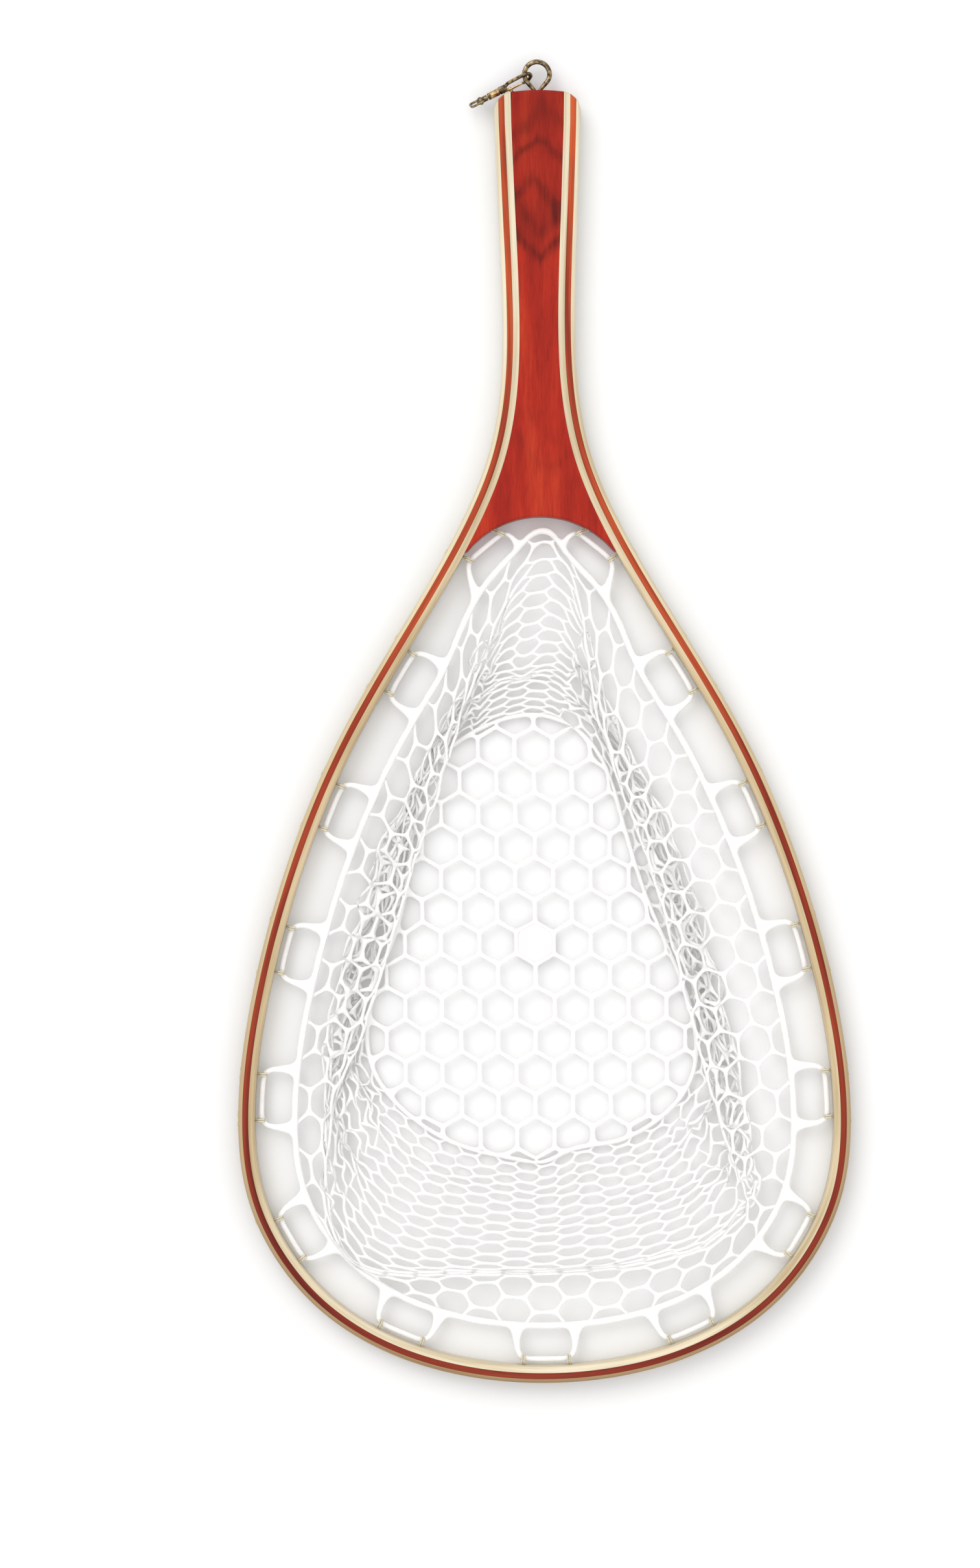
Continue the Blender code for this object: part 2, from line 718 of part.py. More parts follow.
def swivel_bail(material):
    """A small flat loop with a bored boss, turning about the snap's own axis."""
    near, far = BAIL_SPAN
    points = [
        snap_point(s + BAIL_CORNER * math.cos(turn), 0, w + BAIL_CORNER * math.sin(turn))
        for s, w, turn in bail_turns(near, far)
    ]
    bail = tube_object("swivel_bail", points, BAIL_WIRE * MM, material, sides=8, closed=True)
    start, end = BOSS_SPAN
    combine(bail, rod("boss_guide", (start, 0), (end, 0), BOSS_RADIUS), "UNION")
    bore = rod("boss_cutter", (start - OVERSHOOT, 0), (end + OVERSHOOT, 0), POST_RADIUS + BOSS_CLEARANCE)
    combine(bail, bore, "DIFFERENCE")
    return bail


def bail_turns(near, far):
    """Corner centres and angles of the bail's rounded rectangle, in order round it."""
    s_near, s_far = near + BAIL_CORNER, far - BAIL_CORNER
    w = BAIL_HALF_WIDTH - BAIL_CORNER
    for s, side, first in ((s_near, -w, 180), (s_far, -w, 270), (s_far, w, 0), (s_near, w, 90)):
        for k in range(4):
            yield s, side, math.radians(first + 30 * k)


def assemble_snap():
    """The snap hangs on an empty at the centre of the eye, which is the axis it swings about."""
    bright = finish_material("bright_brass", BRIGHT_BRASS)
    dark = finish_material("dark_brass", DARK_BRASS)
    pivot = empty_at("snap_pivot", Matrix.Translation(world(0, EYE_Y, MID_Z)))
    placed = snap_matrix()
    for piece in (snap_body(dark), gate_pin(bright), gate_spring(bright), swivel_post(dark)):
        hang(piece, pivot, placed)
    gate_axis = empty_at("gate_pivot", placed @ Matrix.Translation(snap_point(*GATE_PIN)), pivot)
    hang(snap_gate(bright), gate_axis, Matrix.Identity(4))
    spin = placed @ Matrix.Rotation(math.radians(BAIL_TURN_DEG), 4, "X")
    bail_axis = empty_at("bail_pivot", spin, pivot)
    hang(swivel_bail(dark), bail_axis, Matrix.Identity(4))


def hang(piece, parent, matrix):
    """Parents a piece and the guides of its Boolean modifiers to an axis."""
    guides = [modifier.object for modifier in piece.modifiers]
    for obj in [piece] + guides:
        obj.parent = parent
        obj.matrix_local = matrix


def build():
    for obj in list(bpy.data.objects):
        bpy.data.objects.remove(obj, do_unlink=True)
    white_ash = finish_material("white_ash", WHITE_ASH)
    outer = lamination("outer_lamination", chamfered_section(OUTER_DEPTH - GAP / 2), white_ash)
    middle_section = strip_section(OUTER_DEPTH + GAP / 2, MIDDLE_DEPTH - GAP / 2)
    middle = lamination("middle_lamination", middle_section, finish_material("redwood", REDWOOD))
    inner_section = strip_section(MIDDLE_DEPTH + GAP / 2, BAND_DEPTH)
    inner = lamination("inner_lamination", inner_section, finish_material("tan_ash", TAN_ASH))
    core = handle_core(finish_material("handle_red", HANDLE_RED))
    screw_eye(finish_material("eye_brass", DARK_BRASS))
    inside = HoopInside()
    tabs = all_tabs(inside)
    ties = all_ties(inside, tabs)
    rubber = finish_material("clear_rubber", CLEAR_RUBBER)
    bag_rim(tabs, rubber)
    bag_wall(tabs, rubber)
    bag_base(rubber)
    lacing_cord(inside, ties, finish_material("lacing_beige", LACING_BEIGE))
    holes = lacing_holes(ties)
    combine(outer, lacing_groove(inside, ties), "DIFFERENCE")
    for piece in (outer, middle, inner, core):
        combine(piece, holes, "DIFFERENCE")
    assemble_snap()


build()
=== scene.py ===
"""Looks of the landing net: grained laminations, a moulded rubber bag, twine lacing and brass fittings.

Plan coordinates are in millimetres from the hoop's foot on the centre line, as in the part's source.
"""

import json
import math

import bmesh
import bpy
import numpy as np
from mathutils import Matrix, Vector

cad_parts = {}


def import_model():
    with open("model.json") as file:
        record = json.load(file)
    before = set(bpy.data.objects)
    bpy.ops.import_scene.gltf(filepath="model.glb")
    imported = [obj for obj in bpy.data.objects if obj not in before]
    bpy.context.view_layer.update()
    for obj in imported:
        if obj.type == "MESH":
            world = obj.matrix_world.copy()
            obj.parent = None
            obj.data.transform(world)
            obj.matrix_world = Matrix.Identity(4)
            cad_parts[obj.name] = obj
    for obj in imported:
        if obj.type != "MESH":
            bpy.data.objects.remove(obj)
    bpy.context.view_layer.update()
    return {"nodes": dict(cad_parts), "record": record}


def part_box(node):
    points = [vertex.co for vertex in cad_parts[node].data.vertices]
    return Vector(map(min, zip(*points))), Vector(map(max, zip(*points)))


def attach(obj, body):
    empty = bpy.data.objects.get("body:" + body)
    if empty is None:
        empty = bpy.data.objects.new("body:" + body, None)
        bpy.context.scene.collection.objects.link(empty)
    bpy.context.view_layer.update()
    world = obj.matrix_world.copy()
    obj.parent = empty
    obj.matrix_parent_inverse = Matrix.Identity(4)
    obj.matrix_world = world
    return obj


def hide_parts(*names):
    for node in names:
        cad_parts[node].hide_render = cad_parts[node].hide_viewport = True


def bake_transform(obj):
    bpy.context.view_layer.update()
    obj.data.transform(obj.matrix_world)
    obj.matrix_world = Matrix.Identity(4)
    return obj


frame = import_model()

MM = 0.001

# Sizes that the CAD gives
HOOP_LOW, HOOP_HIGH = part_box("outer_lamination")
FOOT_Y = HOOP_LOW.y / MM
THICKNESS = HOOP_HIGH.z / MM
MID_Z = THICKNESS / 2

# The plan, as in the part's source
HALF_OUTLINE = (
    (36.0, 3.1), (80.2, 17.1), (108.3, 35.7), (127.4, 57.5), (142.3, 88.5), (147.0, 128.0),
    (140.9, 181.8), (124.6, 243.9), (99.3, 306.0), (63.4, 368.2), (37.0, 414.8), (24.4, 446.0),
    (18.6, 477.0), (17.4, 515.0), (19.0, 562.0), (20.8, 610.0),
)
FINE_STATIONS = 1521
OUTER_DEPTH = 2.1
MIDDLE_DEPTH = 4.9
BAND_DEPTH = 8.0
CROWN_Y = 620.2
CROWN_DROP = 2.2
SHOULDER_X = 20.8
SHOULDER_RADIUS = 8.0
ARCH_TOP_Y = 415.7
ARCH_TIP = (35.7, 398.5)
TAB_PITCH = 72.5
SIDE_TABS = 6
RIM_INSET = 19.3
TAB_HALF_SPAN = 13.0
BAR_INSET = 3.0
ARCH_TAB_BAR = ((36.6, 397.0), (18.4, 410.4))
ARCH_TAB_RIM = ((30.0, 379.0), (10.9, 401.0))
RIM_TOP = (2.5, 411.4)
HOLE_INNER_END = 1.2
DRILL_RADIUS = 1.3
DRILL_SIDES = 12
CORD_DEPTH = 0.75
STRAND_RISE = 0.55
TIE_OFFSET = 11.0
GROOVE_DEPTH = 1.35
GROOVE_HALF_WIDTH = 1.25
LOOP_TUCK = 1.5
LOOP_OVER = ((3.4, STRAND_RISE), (2.2, 1.3), (1.0, 2.1), (0.0, 2.2), (-1.2, 1.68))
LOOP_NOSE = -1.95
FLOOR_OUTLINE = (
    (0.6, 105.6), (10.6, 110.6), (21.0, 113.2), (34.0, 115.0), (50.5, 122.5), (64.0, 134.0), (72.0, 148.0),
    (73.0, 168.0), (52.0, 227.0), (38.0, 272.0), (20.0, 311.0), (0.0, 320.6), (-28.0, 315.0), (-49.5, 300.0),
    (-68.0, 227.0), (-85.0, 170.0), (-83.5, 154.0), (-77.0, 141.0), (-62.0, 126.0), (-47.0, 116.5),
    (-32.0, 111.0), (-13.0, 106.8),
)

# Edges of the wood
WOOD_STATIONS = 520
OUTER_ROUND = 2.0
INNER_ROUND = 1.7
SHARP_ROUND = 0.02
EDGE_CROWDING = 1.8
MIDDLE_EDGE = 0.4
GROOVE_SECTION = ((0.0, 1.2), (0.45, 1.0), (1.0, 0.6))
GLUE_GAP = 0.04
ROUND_STEPS = 6
END_ROUND = 0.8
TIP_FADE = 6.0
GROOVE_FADE = 2.0
CORE_SIDE_POINTS = 60
CROWN_POINTS = 21
ARCH_POINTS = 61
CORE_ROUND = 0.9
CORE_ROUND_STEPS = 4
CAP_STEP = 0.2
CAP_INSET = 0.1
ARCH_RUN_OUT = (0.3, 0.65)

# Strands: their cage is a little thicker than the round strand that comes out of it
CAGE = 1 / 0.93
CORNER_REACH = 1.25
CORNER_SHARE = 0.45
LEAST_SINE = 0.35

# Rim and tabs of the bag
RIM_STATIONS = 4000
RIM_DIAMETER = 3.3
RIM_FLATNESS = 0.92
RIM_STEP = 8.5
LEG_FOOT = (13.9, 19.4)
WEB_WIDTH = 10.0
LEG = ((14.2, 11.6, 2.9), (13.6, 6.6, 2.5), (11.7, 3.4, 2.7), (6.5, 3.0, 2.6))
BAR_DIAMETER = 2.6

# Wall of the bag: columns of cells round the rim, rows of cells from the rim to the floor
COLUMNS = 64
ROWS = 16
WALL_STATIONS = 2000
BLUR_REACH = 6
BLUR_WIDTH = 3.5
ROUND_OFF = 0.5
ROUND_OFF_TAPS = 7
WALL_SLANT = (0.6, 0.8)
WALL_DIAMETER = 1.5
CRUMPLE_FROM_ROW = 3.4
CRUMPLE_THINNING = 0.62
CRUMPLE_COLUMNS = (9.5, 52)
TONGUE_COLUMNS = (29, 35)
TONGUE_MIDDLE = 32
TONGUE_REACH = 2.5
TONGUE_STEPS = 8
RIM_STRAND = 1.25
STRAND_WAIST = 0.9
RIM_Z = 6.5
FOLD_Z = 9.9
UNDER_FOLD_Z = 7.9
EDGE_Z = 3.0
WALL_LOW = 1.0
WALL_HIGH = 12.3
UNDER_FOLD_REACH = 2.2
GATHER_LIMIT = 0.75
HIDDEN_GATHER = 4
WEAVE = 0.9

# Noise in the wall: its seed with its steps, and its reach in x, y and z in the open and under the fold
COARSE_NOISE = (3, 4, 2)
FINE_NOISE = (5, 0.5, 0.5)
COARSE_STRAY = ((1.1, 1.1, 0.7), (2.7, 2.7, 1.2))
FINE_STRAY = ((0.5, 0.5, 0.4), (3.1, 3.1, 1.3))

# The fold along the rim: column, plan place, rows before it, rows in it, and how far the rest is gathered
FOLD_STATIONS = (
    (0, 0, 52.5, 1.8, 3.2, 0.5), (3, 42, 55, 1.8, 3.0, 0.5), (5.5, 76, 63, 1.5, 2.2, 2),
    (7.5, 99, 79, 1.0, 1.5, 5), (9, 96, 91, 1.3, 1.2, 12), (11, 87, 113, 2.1, 1.2, 17),
    (14, 75, 156, 2.7, 1.2, 21), (18, 61, 214, 2.8, 1.2, 23), (22, 48, 262, 2.6, 1.2, 21),
    (25, 36, 293, 2.4, 1.2, 17), (27, 25, 322, 2.2, 1.2, 12), (29, 21, 352, 1.8, 1.0, 7),
    (30, 19.5, 372, 1.3, 0.8, 4), (31, 13, 394, 0.9, 0.4, 0), (32, 1, 401, 0.9, 0.4, 0),
    (33, -12, 388, 1.1, 0.5, 1), (34, -20, 366, 1.5, 0.8, 4), (36, -33, 335, 1.9, 1.0, 9),
    (38, -43, 306, 2.0, 1.2, 14), (41, -55, 271, 2.1, 1.2, 18), (44, -64, 243, 2.1, 1.2, 21),
    (48, -78, 194, 2.3, 1.2, 24), (50, -88, 165, 2.0, 1.2, 20), (52, -100, 138, 1.4, 1.2, 12),
    (54, -106, 101, 1.0, 1.2, 6), (56, -102, 71, 0.8, 1.5, 4), (57.5, -91, 56, 0.9, 1.8, 2),
    (59, -70, 52, 1.3, 2.4, 1), (61, -42, 52.5, 1.7, 3.0, 0.5),
)
FOLD_SWINGS = ((0.12, 1.0), (0.3, 0.12), (0.5, 0.92), (0.68, 0.2), (0.84, 0.66), (1.0, 0.0))
TONGUE_ROWS = ((0.0, 0.0), (0.48, 0.72), (0.68, 0.78), (1.0, 1.0))

# Floor of the bag
FLOOR_STATIONS = 1200
FLOOR_PITCH = 18.0
CELL_SIDE = FLOOR_PITCH / math.sqrt(3)
CELL_CORNERS = ((1, 1), (0, 2), (-1, 1), (-1, -1), (0, -2), (1, -1))
FLOOR_ROWS = range(-9, 10)
FLOOR_COLUMNS = range(-8, 9)
SOLID_CELL = (-3.8, 211.0)
FLOOR_DIAMETER = 2.25
FLOOR_RING_DIAMETER = 2.2
FLOOR_RISE = 1.3
FLOOR_RISE_SPAN = 16.0
FLOOR_NOISE = (11, 1, 1)
FLOOR_NOISE_SPAN = (14, 30)
FLOOR_NOISE_START = 30
FLOOR_JITTER = 0.45
HALVINGS = 24
WAIST_AT = 0.26
KNUCKLE = 1.06
WAIST = 0.94
RING_STEP = 5.5
RING_SPACING = 2.6
CUSHION_SECTIONS = ((0.9, -0.75), (1.0, -0.3), (1.0, 0.3), (0.93, 0.75), (0.6, 1.0), (0.25, 1.05))
CUSHION_REACH = (0.875, 0.985)

# Lacing
TWINE_RADIUS = 0.45
TWINE_SIDES = 8
PLY_DEPTH = 0.14
PLY_TWIST = 1.7
FIBRE_SPREAD = 0.3
LOOPS_APART = (-0.5, 0.5)
LOOP_STEP = 0.5
RUN_STEP = 0.8
RUN_KNOT_STEP = 9.0
RUN_TUCK = 3.0

# Turned details of the snap, by distance along its axis and radius
KNOB_PROFILE = (
    (22.25, 0.7), (22.4, 1.15), (22.7, 1.35), (22.95, 1.25), (23.1, 1.6), (23.5, 1.88), (24.0, 1.97),
    (24.5, 1.88), (24.95, 1.6), (25.1, 1.2), (25.5, 1.05), (25.8, 0.6),
)
SLEEVE_PROFILE = ((14.05, 1.5), (14.2, 1.66), (15.0, 1.66), (16.8, 1.62), (18.4, 1.66), (18.6, 1.5))
SLEEVE_FLUTES = 12
FLUTE_DEPTH = 0.07
TURNED_SIDES = 48
TURNED_SHARP_ANGLE = 50


# Curves, as in the part's source

SPAN_STEPS = 40


def spline_slopes(knots, spans):
    """Slopes at the knots that keep a cubic spline's curvature continuous, with free ends."""
    count = len(knots)
    system = np.zeros((count, count))
    known = np.zeros_like(knots)
    rises = np.diff(knots, axis=0) / spans[:, None]
    system[0, :2] = (2, 1)
    system[-1, -2:] = (1, 2)
    known[0] = 3 * rises[0]
    known[-1] = 3 * rises[-1]
    for i in range(1, count - 1):
        before, after = spans[i - 1], spans[i]
        system[i, i - 1 : i + 2] = (after, 2 * (before + after), before)
        known[i] = 3 * (after * rises[i - 1] + before * rises[i])
    return np.linalg.solve(system, known)


def even_points(line, count):
    """The polyline again, as count evenly spaced points."""
    lengths = np.append(0, np.cumsum(np.linalg.norm(np.diff(line, axis=0), axis=1)))
    wanted = np.linspace(0, lengths[-1], count)
    return np.column_stack([np.interp(wanted, lengths, column) for column in line.T])


def smooth_line(points, count, closed=False):
    """Evenly spaced points on the cubic spline through the given points."""
    wrap = 4 if closed else 0
    knots = np.array(points, float)
    spans_used = len(knots) - 1 + closed
    if closed:
        knots = np.vstack([knots[-wrap:], knots, knots[: wrap + 1]])
    spans = np.linalg.norm(np.diff(knots, axis=0), axis=1)
    slopes = spline_slopes(knots, spans)
    share = np.linspace(0, 1, SPAN_STEPS, endpoint=False)[:, None]
    pieces = []
    for i in range(wrap, wrap + spans_used):
        start = (1 + 2 * share) * (1 - share) ** 2 * knots[i]
        end = share**2 * (3 - 2 * share) * knots[i + 1]
        leave = share * (1 - share) ** 2 * spans[i] * slopes[i]
        arrive = share**2 * (share - 1) * spans[i] * slopes[i + 1]
        pieces.append(start + end + leave + arrive)
    line = np.vstack(pieces + [knots[wrap + spans_used][None]])
    return even_points(line, count + closed)[: count if closed else None]


def left_normals(line, closed=False):
    """Unit normals to the left of a plan line's direction of travel."""
    if closed:
        along = np.roll(line, -1, axis=0) - np.roll(line, 1, axis=0)
    else:
        along = np.gradient(line, axis=0)
    along /= np.linalg.norm(along, axis=1)[:, None]
    return np.column_stack([-along[:, 1], along[:, 0]])


def full_outline(count):
    """The outer outline from the left shoulder round the foot to the right one."""
    left = [(-x, y) for x, y in reversed(HALF_OUTLINE)]
    return smooth_line(left + [(0.0, 0.0)] + list(HALF_OUTLINE), count)


def world(x, y, z):
    """A plan point and a height in millimetres as a point of the model in metres."""
    return Vector((x * MM, (y + FOOT_Y) * MM, z * MM))


# Meshes

SHARP_ANGLE = 40


def add_object(name, data):
    obj = bpy.data.objects.new(name, data)
    bpy.context.scene.collection.objects.link(obj)
    return obj


def mesh_object(name, shape, material, sharp=SHARP_ANGLE):
    mesh = bpy.data.meshes.new(name)
    bmesh.ops.recalc_face_normals(shape, faces=shape.faces)
    shape.to_mesh(mesh)
    shape.free()
    obj = add_object(name, mesh)
    if material:
        mesh.materials.append(material)
    mesh.shade_smooth()
    if sharp:
        mesh.set_sharp_from_angle(angle=math.radians(sharp))
    return obj


def add_skin(shape, rings, labels=(), layer=None):
    """Joins rings of points one after the other and caps both ends; the layer takes a label per point."""
    rows = [[shape.verts.new(point) for point in ring] for ring in rings]
    sides = len(rows[0])
    for this, following in zip(rows, rows[1:]):
        for k in range(sides):
            after = (k + 1) % sides
            shape.faces.new((this[k], this[after], following[after], following[k]))
    shape.faces.new(rows[0])
    shape.faces.new(list(reversed(rows[-1])))
    for vertex, label in zip([v for row in rows for v in row], labels):
        vertex[layer] = label


def circle(centre, across, up, reaches, phase=0.0):
    """A ring of points round a centre, evenly turned, each at its own reach."""
    count = len(reaches)
    turns = [2 * math.pi * (k + phase) / count for k in range(count)]
    return [centre + reach * (across * math.cos(t) + up * math.sin(t)) for reach, t in zip(reaches, turns)]


def add_rod(shape, start, end, radius, sides):
    """A straight round bar."""
    along = (end - start).normalized()
    across = Vector((0, 0, 1)).cross(along).normalized()
    up = along.cross(across)
    add_skin(shape, [circle(point, across, up, [radius] * sides, 0.5) for point in (start, end)])


def soften(obj, levels):
    modifier = obj.modifiers.new("Soften", "SUBSURF")
    modifier.levels = levels
    modifier.render_levels = levels
    return obj


def cut(obj, cutter):
    """Cuts the cutter out of the object and applies the cut."""
    modifier = obj.modifiers.new("Cut", "BOOLEAN")
    modifier.operation = "DIFFERENCE"
    modifier.object = cutter
    modifier.solver = "EXACT"
    depsgraph = bpy.context.evaluated_depsgraph_get()
    result = bpy.data.meshes.new_from_object(obj.evaluated_get(depsgraph))
    obj.modifiers.clear()
    obj.data = result
    obj.data.shade_smooth()
    obj.data.set_sharp_from_angle(angle=math.radians(SHARP_ANGLE))


# Materials


def srgb(red, green, blue):
    """A colour given as 8-bit sRGB, in linear light."""
    shares = (red / 255, green / 255, blue / 255)
    return tuple(c / 12.92 if c <= 0.04 else ((c + 0.055) / 1.055) ** 2.4 for c in shares)


# The handle's figure: height, lean, width (its sign is the way it points) and strength of each dark flame
FLAMES = (
    (0.2960, 0.002, 0.0050, 0.45), (0.2800, 0.000, 0.0032, 0.70), (0.2590, -0.003, 0.0040, 0.7),
    (0.2480, 0.003, 0.0060, 0.22), (0.2335, 0.000, -0.0070, 0.60), (0.2200, 0.001, -0.0036, 0.85),
    (0.1500, -0.006, 0.0030, 0.15), (0.1180, 0.004, -0.0040, 0.20),
)
FLAME_SLOPE = 1.1
FLAME_COLOUR = srgb(86, 17, 10)
CORE_DARK = srgb(132, 25, 15)
CORE_MIDDLE = srgb(153, 34, 19)
CORE_LIGHT = srgb(170, 50, 26)


# Straight-grained woods: light, middle and dark colour, darkness of the pores, and tones down the net that
# are painted shade, darkening where the hoop's rounded edges face away from the light
WHITE_ASH = (
    srgb(213, 204, 181), srgb(202, 190, 163), srgb(181, 165, 134), 0.88,
    ((0.0, (1.0, 1.0, 1.0)), (0.42, (0.85, 0.78, 0.66)), (1.0, (0.5, 0.37, 0.26))),
)
REDWOOD = (
    srgb(194, 90, 45), srgb(170, 68, 34), srgb(124, 41, 22), 0.74,
    ((0.0, (1.0, 1.0, 1.0)), (0.42, (0.62, 0.5, 0.62)), (1.0, (0.42, 0.32, 0.5))),
)
TAN_ASH = (
    srgb(214, 204, 183), srgb(200, 188, 162), srgb(172, 155, 124), 0.84,
    ((0.0, (1.0, 1.0, 1.0)), (0.36, (0.8, 0.7, 0.57)), (0.75, (0.86, 0.78, 0.66)), (1.0, (1.0, 0.99, 0.97))),
)
MIDDLE_DEPTHS = (OUTER_DEPTH + GLUE_GAP, MIDDLE_DEPTH - GLUE_GAP)

# The laminations: name, depths from the outer face, slot, CAD node and wood
STRIPS = (
    ("outer_ash", (0, OUTER_DEPTH - GLUE_GAP), "white_ash", "outer_lamination", WHITE_ASH),
    ("middle_redwood", MIDDLE_DEPTHS, "redwood", "middle_lamination", REDWOOD),
    ("inner_ash", (MIDDLE_DEPTH + GLUE_GAP, BAND_DEPTH), "tan_ash", "inner_lamination", TAN_ASH),
)


class Painter:
    """Builds a material's nodes round one Principled shader."""

    def __init__(self, name, roughness, **inputs):
        self.material = bpy.data.materials.new(name)
        self.material.use_nodes = True
        self.tree = self.material.node_tree
        self.shader = self.tree.nodes["Principled BSDF"]
        self.shader.inputs["Roughness"].default_value = roughness
        for key, value in inputs.items():
            self.shader.inputs[key.replace("_", " ")].default_value = value

    def node(self, kind, links=(), **values):
        made = self.tree.nodes.new(kind)
        for key, value in values.items():
            setattr(made, key, value)
        for socket, source in links:
            self.plug(source, made.inputs[socket])
        return made

    def plug(self, source, socket):
        if isinstance(source, bpy.types.NodeSocket):
            self.tree.links.new(source, socket)
        else:
            socket.default_value = source

    def where(self, attribute=None):
        """Where a point lies, by an attribute of the mesh or else by the object's own coordinates."""
        if attribute:
            return self.node("ShaderNodeAttribute", attribute_name=attribute).outputs["Vector"]
        return self.node("ShaderNodeTexCoord").outputs["Object"]

    def scaled(self, vector, scale):
        return self.node("ShaderNodeMapping", [("Vector", vector), ("Scale", scale)]).outputs["Vector"]

    def noise(self, vector, scale, detail=4.0, rough=0.55):
        links = [("Vector", vector), ("Scale", scale), ("Detail", detail), ("Roughness", rough)]
        return self.node("ShaderNodeTexNoise", links).outputs["Fac"]

    def grain(self, place, scale, detail, rough):
        """Noise that is drawn out where its scale is small."""
        return self.noise(self.scaled(place, scale), 1.0, detail, rough)

    def ramp(self, factor, stops):
        made = self.node("ShaderNodeValToRGB", [("Fac", factor)])
        band = made.color_ramp
        while len(band.elements) < len(stops):
            band.elements.new(0.5)
        for element, (position, colour) in zip(band.elements, stops):
            element.position = position
            element.color = (*colour, 1.0)
        return made.outputs["Color"]

    def math(self, operation, *sources):
        made = self.node("ShaderNodeMath", operation=operation)
        for k, source in enumerate(sources):
            self.plug(source, made.inputs[k])
        return made.outputs["Value"]

    def mix(self, factor, first, second, blend="MIX"):
        made = self.node("ShaderNodeMix", data_type="RGBA", blend_type=blend)
        for name, source in (("Factor_Float", factor), ("A_Color", first), ("B_Color", second)):
            socket = next(s for s in made.inputs if s.identifier == name)
            self.plug(source, socket)
        return next(s for s in made.outputs if s.identifier == "Result_Color")

    def tint(self, colour, by):
        return self.mix(1.0, colour, by, "MULTIPLY")

    def part(self, vector, axis):
        return self.node("ShaderNodeSeparateXYZ", [("Vector", vector)]).outputs[axis]

    def share(self, value, low, high, least=0.0):
        """How far the value is on its way from low to high, from the least share up to 1."""
        links = [("Value", value), ("From Min", low), ("From Max", high), ("To Min", least)]
        return self.node("ShaderNodeMapRange", links).outputs["Result"]

    def bump(self, height, strength, distance):
        links = [("Height", height), ("Strength", strength), ("Distance", distance)]
        return self.node("ShaderNodeBump", links).outputs["Normal"]

    def finish(self, colour=None, roughness=None, normal=None):
        for name, source in (("Base Color", colour), ("Roughness", roughness), ("Normal", normal)):
            if source is not None:
                self.plug(source, self.shader.inputs[name])
        return self.material


def grey(value):
    return (value, value, value)


def strip_wood(name, light, middle, dark, pores, painted_shade):
    """Straight-grained wood that follows a lamination: its attribute holds length, depth and height.

    The colour is multiplied by the tones, which run from the handle to the foot: painted shade where the
    hoop's rounded edges face away from the light.
    """
    paint = Painter(name, 0.4, Specular_IOR_Level=0.12, Coat_Weight=0.02, Coat_Roughness=0.2)
    place = paint.where("grain")
    broad = paint.grain(place, (9.0, 260.0, 190.0), 3.0, 0.5)
    fine = paint.grain(place, (42.0, 2400.0, 1500.0), 5.0, 0.6)
    colour = paint.ramp(broad, [(0.28, dark), (0.5, middle), (0.72, light)])
    colour = paint.tint(colour, paint.ramp(fine, [(0.32, grey(pores)), (0.52, grey(1.0))]))
    # Painted shade: the tones darken the wood down the hoop where its rounded edges face away from the light.
    down = paint.share(paint.part(paint.where(), "Y"), 0.2, -0.3)
    colour = paint.tint(colour, paint.ramp(down, painted_shade))
    rough = paint.math("MULTIPLY_ADD", fine, 0.2, 0.26)
    return paint.finish(colour, rough, paint.bump(fine, 0.12, 0.0002))


def core_wood(name):
    """Red-stained wood with dark cathedral figure across the handle."""
    paint = Painter(name, 0.38, Specular_IOR_Level=0.1, Coat_Weight=0.02, Coat_Roughness=0.2)
    place = paint.where()
    x, y = paint.part(place, "X"), paint.part(place, "Y")
    bend = paint.grain(place, (70.0, 34.0, 40.0), 4.0, 0.6)
    shake = paint.math("MULTIPLY_ADD", bend, 0.018, -0.009)
    dark = 0.0
    for top, lean, spread, strength in FLAMES:
        off = paint.math("ABSOLUTE", paint.math("ADD", x, -lean))
        ridge = paint.math("MULTIPLY_ADD", off, math.copysign(FLAME_SLOPE, spread), y)
        away = paint.math("ADD", paint.math("ADD", ridge, -top), shake)
        falloff = paint.math("DIVIDE", away, abs(spread))
        hump = paint.math("EXPONENT", paint.math("MULTIPLY", paint.math("MULTIPLY", falloff, falloff), -1.0))
        dark = paint.math("MULTIPLY_ADD", hump, strength, dark)
    streak = paint.grain(place, (420.0, 26.0, 200.0), 5.0, 0.65)
    broken = paint.share(streak, 0.34, 0.62, 0.45)
    flame = paint.math("MULTIPLY", paint.math("MINIMUM", dark, 1.0), broken)
    broad = paint.grain(place, (110.0, 14.0, 60.0), 4.0, 0.6)
    fine = paint.grain(place, (1300.0, 120.0, 900.0), 5.0, 0.65)
    red = paint.ramp(broad, [(0.3, CORE_DARK), (0.52, CORE_MIDDLE), (0.72, CORE_LIGHT)])
    colour = paint.mix(flame, red, (*FLAME_COLOUR, 1.0))
    colour = paint.tint(colour, paint.ramp(fine, [(0.3, grey(0.76)), (0.56, grey(1.0))]))
    up = paint.share(y, 0.21, 0.3)
    colour = paint.tint(colour, paint.ramp(up, [(0.0, grey(1.0)), (1.0, (0.8, 0.84, 0.8))]))
    rough = paint.math("MULTIPLY_ADD", fine, 0.2, 0.28)
    return paint.finish(colour, rough, paint.bump(fine, 0.1, 0.0002))


